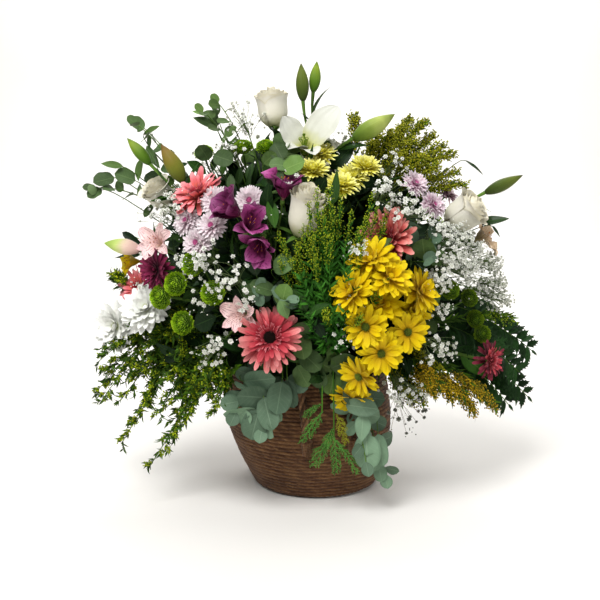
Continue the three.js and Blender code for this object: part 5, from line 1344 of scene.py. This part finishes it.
PLUMES = {
    "solidago_upper_right": ([seen(354, 120, 20), seen(390, 138, 60), seen(424, 125, 20), seen(452, 156, 30)],
        [seen(378, 128, 30), seen(401, 130, 20), seen(412, 144, 50), seen(432, 138, 0), seen(441, 148, 20),
            seen(436, 168, 50), seen(455, 174, 20), seen(420, 160, 60), seen(372, 148, 50), seen(397, 158, 66),
            seen(408, 122, -10), seen(463, 186, 30)]),
    "solidago_lower_right": ([seen(452, 398, 130), seen(474, 412, 100), seen(495, 408, 70),
        seen(512, 318, 20)], [seen(437, 380, 130), seen(463, 396, 110), seen(484, 398, 90),
        seen(440, 368, 120), seen(434, 392, 130), seen(433, 391, 142), seen(438, 384, 142),
        seen(412, 400, 128), seen(423, 402, 122), seen(404, 392, 120)]),
    "solidago_back": ([W(168, -22, 26), W(192, -27, 22), W(144, -20, 22)],
        [W(180, -14, 20), W(156, -28, 20), W(205, -20, 20)]),
}
for name, (tips, more) in PLUMES.items():
    bag = Bag(name + "_plumes", "solidago_green", name)
    for k, twig in enumerate(twigs(bag, tips, 0.5) + twigs(bag, more, 0.55, 1.7)):
        if name == "solidago_upper_right":
            plume(bag, twig, "solidago_bud", 38, 26, 0.5, 0.05, 26, (3.4, 2.4), 18, 0.3, "spray_leaf", 16)
        else:
            golden = name == "solidago_lower_right" and k not in (7, 8, 11, 12, 13)
            buds, branches, dots = "solidago_gold" if golden else "solidago_bud", 34, 25
            if golden and k == 3:
                buds, branches, dots = "solidago_fresh", 16, 16
            start = 0.68 if golden else 0.46
            plume(bag, twig, buds, branches, 21, start, 0.25, dots, (3.6, 2.4), 40, -0.1, "spray_leaf", 18)

bag = Bag("solidago_centre_plumes", "solidago_green", "solidago_centre")
twigs(bag, [D(345, 206, 12), D(340, 232, 32), D(366, 226, 14)], 0.5)
FAN_FOOT = D(338, 352, -26)
bag.put(tube(stem_way(FAN_FOOT, [0, -0.5, 1]), 2.2, 6), "stem")
FAN = ((298, 246, 20), (292, 262, 14), (308, 230, 30), (317, 208, 44), (326, 194, 44), (333, 212, 36),
    (341, 198, 30), (351, 214, 26), (359, 230, 24),
       (366, 220, 18), (376, 212, 12), (385, 222, 8), (362, 248, 24), (330, 238, 34), (315, 258, 30),
       (326, 312, 30), (386, 282, 32), (360, 318, 30))
FAN += ((303, 230, 210), (309, 206, 212), (317, 191, 212), (323, 212, 214), (330, 190, 200), (313, 238, 208),
    (297, 246, 196),
        (284, 244, 20), (281, 262, 14), (279, 236, 18), (372, 196, 18), (388, 206, 10))
LOW_GREEN = ((346, 240, 26), (300, 272, 20), (321, 282, 28), (334, 306, 26), (304, 292, 20), (348, 268, 26),
    (356, 286, 26), (310, 316, 22), (346, 310, 26), (296, 300, 16), (330, 262, 28), (322, 336, 16),
    (340, 334, 16))
FAN_LEAVES, FAN_LEAF = 34, blade(19, 4.2, "lance", 0.1, -0.5, 0.1, 0.2, rows=5)
for k, (u, v, lift) in enumerate(FAN + LOW_GREEN):
    leaves_only = k >= len(FAN)
    tip = pictured(u, v, lift)
    reach = np.linalg.norm(tip - FAN_FOOT)
    start = FAN_FOOT + bag.rng.normal(size=3) * [9, 3, 3] - [0, 0, 6]
    into = unit(outward(tip) * 0.4 + [0, 0, 1])
    way = bezier(start, start + [0, -14, 0.35 * reach], tip - 0.25 * reach * into, tip, steps=12)
    stalk(bag, way, 1.2, 0.5, "fresh_leaf")
    if not leaves_only:
        plume(bag, way, "solidago_fresh", 16, 14, 0.66, -0.1, 12, (2.5, 1.9), 6, 0.5, "fresh_leaf", 12)
    for n in range(FAN_LEAVES):
        at, along = along_way(way, 0.12 + (0.86 if leaves_only else 0.6) * n / FAN_LEAVES)
        side = unit(aside(along, n, 0.2) + 0.5 * toward(at))
        frame = lay(at, along * 0.8 + side, toward(at) + 0.4 * bag.rng.normal(size=3))
        bag.put(FAN_LEAF, "fresh_leaf", frame @ size((1.35 - 0.6 * n / FAN_LEAVES) * bag.rng.uniform(0.7, 1.2)))

bag = Bag("greens_lower_left_fronds", "greens_spray", "greens_lower_left")
GREENS = [seen(101, 404, 60), seen(121, 444, 100), seen(150, 466, 120), seen(172, 438, 150),
    seen(216, 414, 165)]
MORE_GREENS = [seen(98, 362, 58), seen(131, 356, 80), seen(96, 392, 60), seen(108, 348, 60),
    seen(104, 376, 62), seen(121, 400, 76), seen(136, 424, 98), seen(160, 414, 122), seen(134, 372, 90),
    seen(150, 345, 100), seen(186, 408, 140), seen(168, 380, 120), seen(196, 384, 140), seen(145, 398, 100),
    seen(180, 352, 120), seen(207, 396, 150)]
for k, tip in enumerate(GREENS + MORE_GREENS):
    way = over_rim(tip)
    sway = np.linspace(0, 1, len(way))[:, None]
    wave = np.sin(sway * math.pi * bag.rng.uniform(1, 2.4)) * sway * (1 - sway) * 3
    way = way + wave * bag.rng.normal(size=3) * [14, 10, 16]
    stalk(bag, way, 1.6, 0.6)
    leafy(bag, way, "spray_leaf", "green_bud", 11.5, 0.36, 25, 26 - 5 * (k % 2))

way = stem_way(seen(116, 275, 52), [-0.4, 0, 1], 14)
stalk(bag, way, 1.4, 0.5)
leafy(bag, way, "spray_leaf", "green_bud", 10, 0.84, 12, 14)

bag = Bag("thuja_front_fronds", "thuja_green", "thuja_front")
for tip in (seen(322, 412, 158), seen(334, 436, 160)):
    way = over_rim(tip)
    stalk(bag, way, 1.3, 0.9, "narrow_leaf")
FRONDS = [  # start, end, length of its fingers
    ((323, 411, 158), (302, 442, 160), 13), ((322, 404, 158), (304, 417, 158), 8),
    ((333, 434, 160), (313, 466, 162), 13),
    ((334, 436, 160), (337, 473, 166), 14), ((336, 440, 160), (358, 474, 162), 10),
    ((336, 414, 160), (346, 444, 160), 9),
    ((333, 428, 160), (324, 452, 160), 10),
]
for k, (start, end, long) in enumerate(FRONDS):
    frond(bag, seen(*start), seen(*end), "dry_thuja" if k == 5 else "thuja_leaf", long)

bag = Bag("fern_right_fronds", "fern_dark", "fern_right")
for tip in (seen(531, 350, -14), seen(527, 396, 0), seen(519, 372, 30), seen(512, 336, -10),
    seen(508, 404, 20)):
    fern(bag, tip)

EUCALYPTUS = {  # leaf, diameter, leaves on a twig, tips
    "eucalyptus_upper_left": ("eucalyptus_leaf", 26, 8, [seen(136, 124, 50), seen(94, 188, 30)]),
    "eucalyptus_top": ("green_round_leaf", 25, 6,
        [seen(203, 112, 40), seen(218, 103, 20), seen(288, 151, 118)]),
    "eucalyptus_centre": ("silver_leaf", 27, 6, [D(257, 292, 14), D(284, 300, 22)]),
    "eucalyptus_front_low": ("silver_leaf", 36, 8, [seen(236, 412, 168), seen(262, 428, 170)]),
    "eucalyptus_hanging": ("silver_leaf", 33, 8, [seen(366, 462, 168), seen(384, 474, 140)]),
    "eucalyptus_right": ("grey_leaf", 27, 6, [D(432, 240, 12), D(424, 262, 14)]),
}
for name, (leaf, diameter, count, tips) in EUCALYPTUS.items():
    bag = Bag(name + "_leaves", "eucalyptus_grey", name)
    for twig in twigs(bag, tips, 0.55):
        round_leaves(bag, twig, diameter, count, leaf)


# ---------------------------------------------------------------- foliage behind and between the flowers
def foliage(name, slot, leaves, material, places, depth=(-60, -22)):
    """Leafy twigs that rise from the foam and fan out inside the dome."""
    bag = Bag(name, slot)
    rng = bag.rng
    for azimuth, elevation in places:
        tip = around(azimuth, elevation, rng.uniform(*depth))
        foot = STEM_ENTRY + (tip - STEM_ENTRY) * [0.34, 0.34, 0] * rng.uniform(0.8, 1)
        foot[2] = FOAM_TOP - 4
        reach = np.linalg.norm(tip - foot)
        twig = bezier(foot, foot + [0, 0, 0.25 * reach] + (tip - foot) * 0.4, tip, steps=8)
        stalk(bag, twig, 1.5, 0.6, sides=4)
        for k in range(11):
            at, along = along_way(twig, 0.3 + 0.7 * k / 10)
            side = unit(aside(along, k, 0.4, GOLDEN) + 0.5 * outward(at))
            frame = lay(at, side + 0.5 * along, toward(at) + 0.5 * rng.normal(size=3))
            bag.put(leaves[k % len(leaves)], material, frame @ size(rng.uniform(0.75, 1.15)))


def aimed(u, v):
    """The azimuth and elevation of the place on the dome seen at a pixel."""
    x, y, z = (on_dome(u, v) - DOME_CENTRE) / DOME_AXES
    return math.degrees(math.atan2(x, -y)), math.degrees(math.asin(max(-1, min(1, z))))


def spread_over(count, low, high, seed):
    """Evenly spread azimuth and elevation pairs."""
    rng = np.random.default_rng(seed)
    k = np.arange(count)
    low, high = math.sin(math.radians(low)), math.sin(math.radians(high))
    azimuths = np.degrees(k * GOLDEN) + rng.normal(size=count) * 6
    rise = low + (high - low) * (k + 0.5) / count
    return list(zip(azimuths, np.degrees(np.arcsin(rise)) + rng.normal(size=count) * 3))


BROAD = [blade(46, 22, "oval", 0.1, -0.5, 0.08, 0.1, 0.05, 3, 6, 2),
    blade(40, 17, "lance", 0.1, -0.7, 0.08, 0.12, 0.05, 3, 6, 2)]
WIDE = [blade(62, 34, "oval", 0.1, -0.5, 0.08, 0.1, 0.05, 3, 7, 4),
    blade(58, 28, "petal", 0.1, -0.7, 0.08, 0.12, 0.05, 3, 7, 4)]
SLIM = [blade(46, 8, "lance", 0.1, -0.6, 0.08, 0.12, 0.02, 3, 7, 2),
    blade(36, 6, "lance", 0, -0.4, 0.08, 0.12, 0.02, 3, 7, 2)]
# The inner, broad and rim foliage wear dark_leaf: real leaves, darkened into painted shade for the inside of the
# dome.
foliage("foliage_inner", "fern_dark", WIDE, "dark_leaf",
    spread_over(90, -30, 80, 4) + [(a, 48 + a % 17) for a in range(-80, 90, 10)], (-105, -55))
foliage("foliage_broad", "fern_dark", BROAD, "dark_leaf", spread_over(110, -30, 75, 1), (-62, -26))
foliage("foliage_slim", "greens_spray", SLIM, "mum_leaf", spread_over(110, -30, 70, 2), (-50, -12))


def sprinkled(name, places):
    """Single gypsophila florets on long hair-thin stalks among the flowers."""
    bag = Bag(name, "gypsophila_white")
    for azimuth, elevation in places:
        root, tip = around(azimuth, elevation, -50), around(azimuth, elevation, 2)
        cloud(bag, root, tip, 13, 24)
        foot = STEM_ENTRY - [0, 0, 4] + (root - STEM_ENTRY) * [0.4, 0.4, 0]
        bag.put(tube(bezier(foot, root, tip - outward(tip) * 12), 0.8, 4), "stem")


sprinkled("gypsophila_sprinkled", spread_over(44, -14, 68, 3))

# ---------------------------------------------------------------- leaves that the photograph shows one by one
# pixel, lift, length, width, angle in the picture, outline
GREY_LEAVES = [
    (137, 124, 12, 24, 22, 150, "round"), (152, 131, 12, 30, 14, 20, "oval"),
    (150, 141, 8, 20, 9, -80, "oval"), (153, 157, 8, 40, 14, -60, "oval"),
    (140, 170, 6, 34, 17, -95, "oval"), (155, 180, 6, 34, 30, -30, "round"),
    (125, 177, 12, 32, 30, 160, "round"), (112, 165, 12, 32, 12, 172, "oval"),
    (104, 181, 14, 32, 30, 200, "round"), (95, 194, 16, 24, 25, 215, "round"),
    (167, 182, 6, 24, 19, 10, "round"),
    (216, 119, 12, 27, 13, 95, "oval"), (206, 122, 12, 40, 15, 155, "oval"),
    (199, 114, 14, 22, 13, 170, "oval"), (217, 106, 14, 28, 16, 90, "oval"),
    (204, 152, 14, 27, 26, 120, "round"), (226, 143, 14, 29, 27, 60, "round"),
    (224, 159, 12, 32, 26, -20, "round"), (231, 184, 16, 26, 12, -85, "oval"),
    (236, 147, 4, 26, 20, 100, "round"), (281, 141, 16, 24, 23, 80, "round"),
    (279, 152, 22, 28, 25, -60, "round"), (294, 166, 22, 34, 30, 20, "round"),
    (279, 165, 20, 28, 24, 170, "round"), (275, 178, 18, 26, 20, 210, "round"),
    (270, 158, 18, 24, 20, 40, "round"),
    (284, 265, 2, 32, 30, 20, "round"), (262, 288, 8, 36, 24, 160, "round"),
    (284, 295, 10, 32, 28, 80, "round"), (252, 291, 4, 28, 24, 200, "round"),
    (284, 309, 14, 28, 18, -70, "oval"),
    (302, 347, -4, 36, 28, -80, "round"), (311, 361, -6, 36, 30, -40, "round"),
    (344, 362, -10, 44, 36, 30, "round"), (336, 352, -14, 40, 30, 100, "round"),
    (300, 331, -12, 34, 26, 40, "round"), (318, 376, -6, 38, 28, -70, "round"),
    (332, 383, -6, 36, 28, -100, "round"), (303, 376, -8, 34, 28, -60, "round"),
    (347, 384, -6, 36, 28, -80, "round"), (326, 366, -16, 38, 30, 150, "round"),
    (389, 246, -4, 24, 20, 140, "round"), (405, 245, 4, 34, 12, 62, "oval"),
    (424, 250, 8, 36, 34, 100, "round"), (439, 240, 10, 28, 20, 40, "round"),
    (436, 256, 8, 30, 26, -60, "round"), (418, 262, -8, 30, 26, -100, "round"),
    (440, 310, 2, 50, 20, 10, "oval"), (430, 300, -8, 36, 26, 60, "round"),
    (426, 325, -10, 36, 26, -30, "round"),
]
FRONT_LEAVES = [
    (260, 379, 158, 48, 34, 12, "round"), (252, 396, 164, 44, 38, 170, "round"),
    (240, 412, 166, 48, 24, 182, "round"), (279, 398, 166, 46, 36, -100, "round"),
    (290, 394, 160, 42, 24, -80, "round"),
    (255, 425, 170, 44, 38, -105, "round"), (268, 414, 168, 48, 30, -75, "round"),
    (297, 384, 150, 34, 26, -20, "round"), (236, 398, 150, 32, 24, 160, "round"),
    (362, 407, 160, 46, 26, -4, "round"), (362, 427, 162, 40, 24, -95, "oval"),
    (367, 452, 160, 50, 38, -85, "round"), (381, 450, 146, 46, 22, -80, "round"),
    (380, 473, 142, 26, 20, -80, "round"), (352, 396, 150, 36, 24, 150, "round"),
]
GREEN_LEAVES = [
    (335, 185, 34, 52, 13, 86, "lance"), (322, 187, 30, 34, 24, 60, "oval"),
    (474, 167, 20, 36, 8, -36, "oval"), (492, 222, 16, 52, 16, 4, "oval"),
    (496, 232, 20, 22, 6, -60, "lance"), (267, 200, 26, 46, 20, 88, "oval"),
    (272, 214, 20, 40, 18, -80, "oval"), (134, 240, 16, 44, 12, -32, "lance"),
    (127, 256, 14, 40, 9, 184, "lance"), (165, 196, 8, 46, 18, 190, "oval"),
    (205, 321, 14, 34, 28, 200, "petal"), (255, 268, 14, 24, 20, 100, "petal"),
    (475, 366, 20, 54, 30, -38, "oval"), (460, 352, 10, 44, 26, 20, "oval"),
    (468, 240, -10, 40, 20, 150, "oval"),
    (300, 300, 12, 36, 18, 120, "oval"), (320, 330, 14, 40, 16, -60, "lance"),
    (318, 310, 18, 36, 16, 30, "oval"), (196, 168, 0, 34, 22, 150, "oval"), (178, 168, -4, 34, 20, 30, "oval"),
]


def placed_leaves(name, slot, looks, table):
    """Single leaves in the places and outlines of a table, each on a thin stalk that leads inward."""
    bag = Bag(name, slot)
    rng = bag.rng
    for k, (u, v, lift, length, width, angle, outline) in enumerate(table):
        at = pictured(u, v, lift)
        a = math.radians(angle)
        way = unit([math.cos(a), -0.25, math.sin(a)])
        normal = toward(at, 1.4) + 0.22 * rng.normal(size=3)
        base = at - way * length / 2
        leaf = blade(length, width, outline, 0.12, rng.uniform(-0.55, 0.1), 0.1, 0.08, 0.05, 2, 10, 6)
        # With two looks, leaves above pixel row 404 take the first and the rest the second: over the rim that
        # gives the darker grey_leaf, painted shade, to the leaves tucked under the flowers.
        look = looks[int(v > 404)] if len(looks) == 2 else looks[k % len(looks)]
        bag.put(leaf, look, lay(base, way, normal))
        inner = base + ([0, 22, 26] if lift > 100 else (DOME_CENTRE + [0, 0, -50] - base) * 0.4)
        stalk(bag, bezier(inner, base - way * 14, base + way * 1.5, steps=6), 0.9, 0.6, sides=4)


placed_leaves("eucalyptus_between", "eucalyptus_grey",
    ["eucalyptus_leaf", "green_round_leaf", "eucalyptus_leaf"], GREY_LEAVES)
placed_leaves("eucalyptus_over_rim", "eucalyptus_grey", ["grey_leaf", "silver_leaf"], FRONT_LEAVES)
# dark_leaf here too: painted shade under the flowers along the rim.
rim = draws("rim places")
foliage("foliage_rim", "fern_dark", BROAD, "dark_leaf",
    [(a + 4 * rim.normal(), -30 + 6 * rim.normal()) for a in range(-180, 180, 6)], (-46, -8))
SMALL = [blade(30, 13, "oval", 0.1, -0.5, 0.08, 0.1, 0.05, 3, 6, 2),
    blade(30, 8, "lance", 0.1, -0.7, 0.08, 0.12, 0.05, 3, 6, 2)]
foliage("foliage_upper", "fern_dark", SMALL, "mum_leaf",
    [aimed(u, v) for u, v in ((200, 160), (215, 165), (228, 170), (190, 176), (240, 166), (222, 186),
        (180, 182), (206, 186), (160, 206), (170, 226), (262, 172))], (-34, -8))
placed_leaves("leaves_between", "fern_dark", ["lily_leaf", "dark_leaf", "rose_leaf"], GREEN_LEAVES)

for bag in PIECES.values():
    bag.finish()

# ---------------------------------------------------------------- stage, light, camera
def stage_mesh():
    mesh = bpy.data.meshes.new("floor")
    w, d, h, r = 4.0, 3.0, 3.0, 0.9
    profile = [(-d, 0.0)] + [(d - r + r * math.sin(a), r - r * math.cos(a))
        for a in np.linspace(0, math.pi / 2, 13)] + [(d, h)]
    verts = [(x, y, z) for y, z in profile for x in (-w, w)]
    mesh.from_pydata(verts, [], [(2 * k, 2 * k + 1, 2 * k + 3, 2 * k + 2) for k in range(len(profile) - 1)])
    for face in mesh.polygons:
        face.use_smooth = True
    floor = bpy.data.objects.new("floor", mesh)
    bpy.context.scene.collection.objects.link(floor)
    n = Nodes("pale_floor", 0.9, specular=0.1)
    mesh.materials.append(n.done(n.mix(n.noise(3, 2), rgb("eeebe6"), rgb("f2f0ec"))))


def soft_light(name, place, at, width, power):
    light = bpy.data.lights.new(name, "AREA")
    light.shape, light.size, light.energy = "DISK", width, power
    lamp = bpy.data.objects.new(name, light)
    lamp.location = place
    lamp.rotation_euler = (Vector(at) - Vector(place)).to_track_quat("-Z", "Y").to_euler()
    bpy.context.scene.collection.objects.link(lamp)


stage_mesh()
LIGHTS = [  # place and aim in metres, width, power
    ("key", (-0.6, -1.45, 2.15), (0, 0, 0.35), 1.5, 62),
    ("fill", (1.7, -1.5, 1.0), (0, 0, 0.3), 1.4, 9),
    ("top", (0.1, 0.2, 2.2), (0, 0, 0.3), 1.2, 10),
    ("back", (1.0, 1.9, 1.5), (0, 0, 0.3), 1.4, 14),
    ("backdrop", (0, 1.6, 2.6), (0, 3.2, 0.9), 1.6, 60),
]
for light in LIGHTS:
    soft_light(*light)
world = bpy.data.worlds.new("studio")
world.use_nodes = True
world.node_tree.nodes["Background"].inputs["Color"].default_value = (1, 1, 1, 1)
world.node_tree.nodes["Background"].inputs["Strength"].default_value = 0.24
bpy.context.scene.world = world
bpy.context.scene.view_settings.view_transform = "Standard"

lens = bpy.data.cameras.new("camera")
lens.sensor_width, lens.lens = SENSOR, SENSOR * FOCAL_PIXELS / FRAME_SIDE
camera = bpy.data.objects.new("camera", lens)
eye, ahead = eye_and_ray(FRAME_MIDDLE, FRAME_MIDDLE)
camera.location = eye * MM
camera.rotation_euler = Vector(ahead).to_track_quat("-Z", "Y").to_euler()
bpy.context.scene.collection.objects.link(camera)
bpy.context.scene.camera = camera
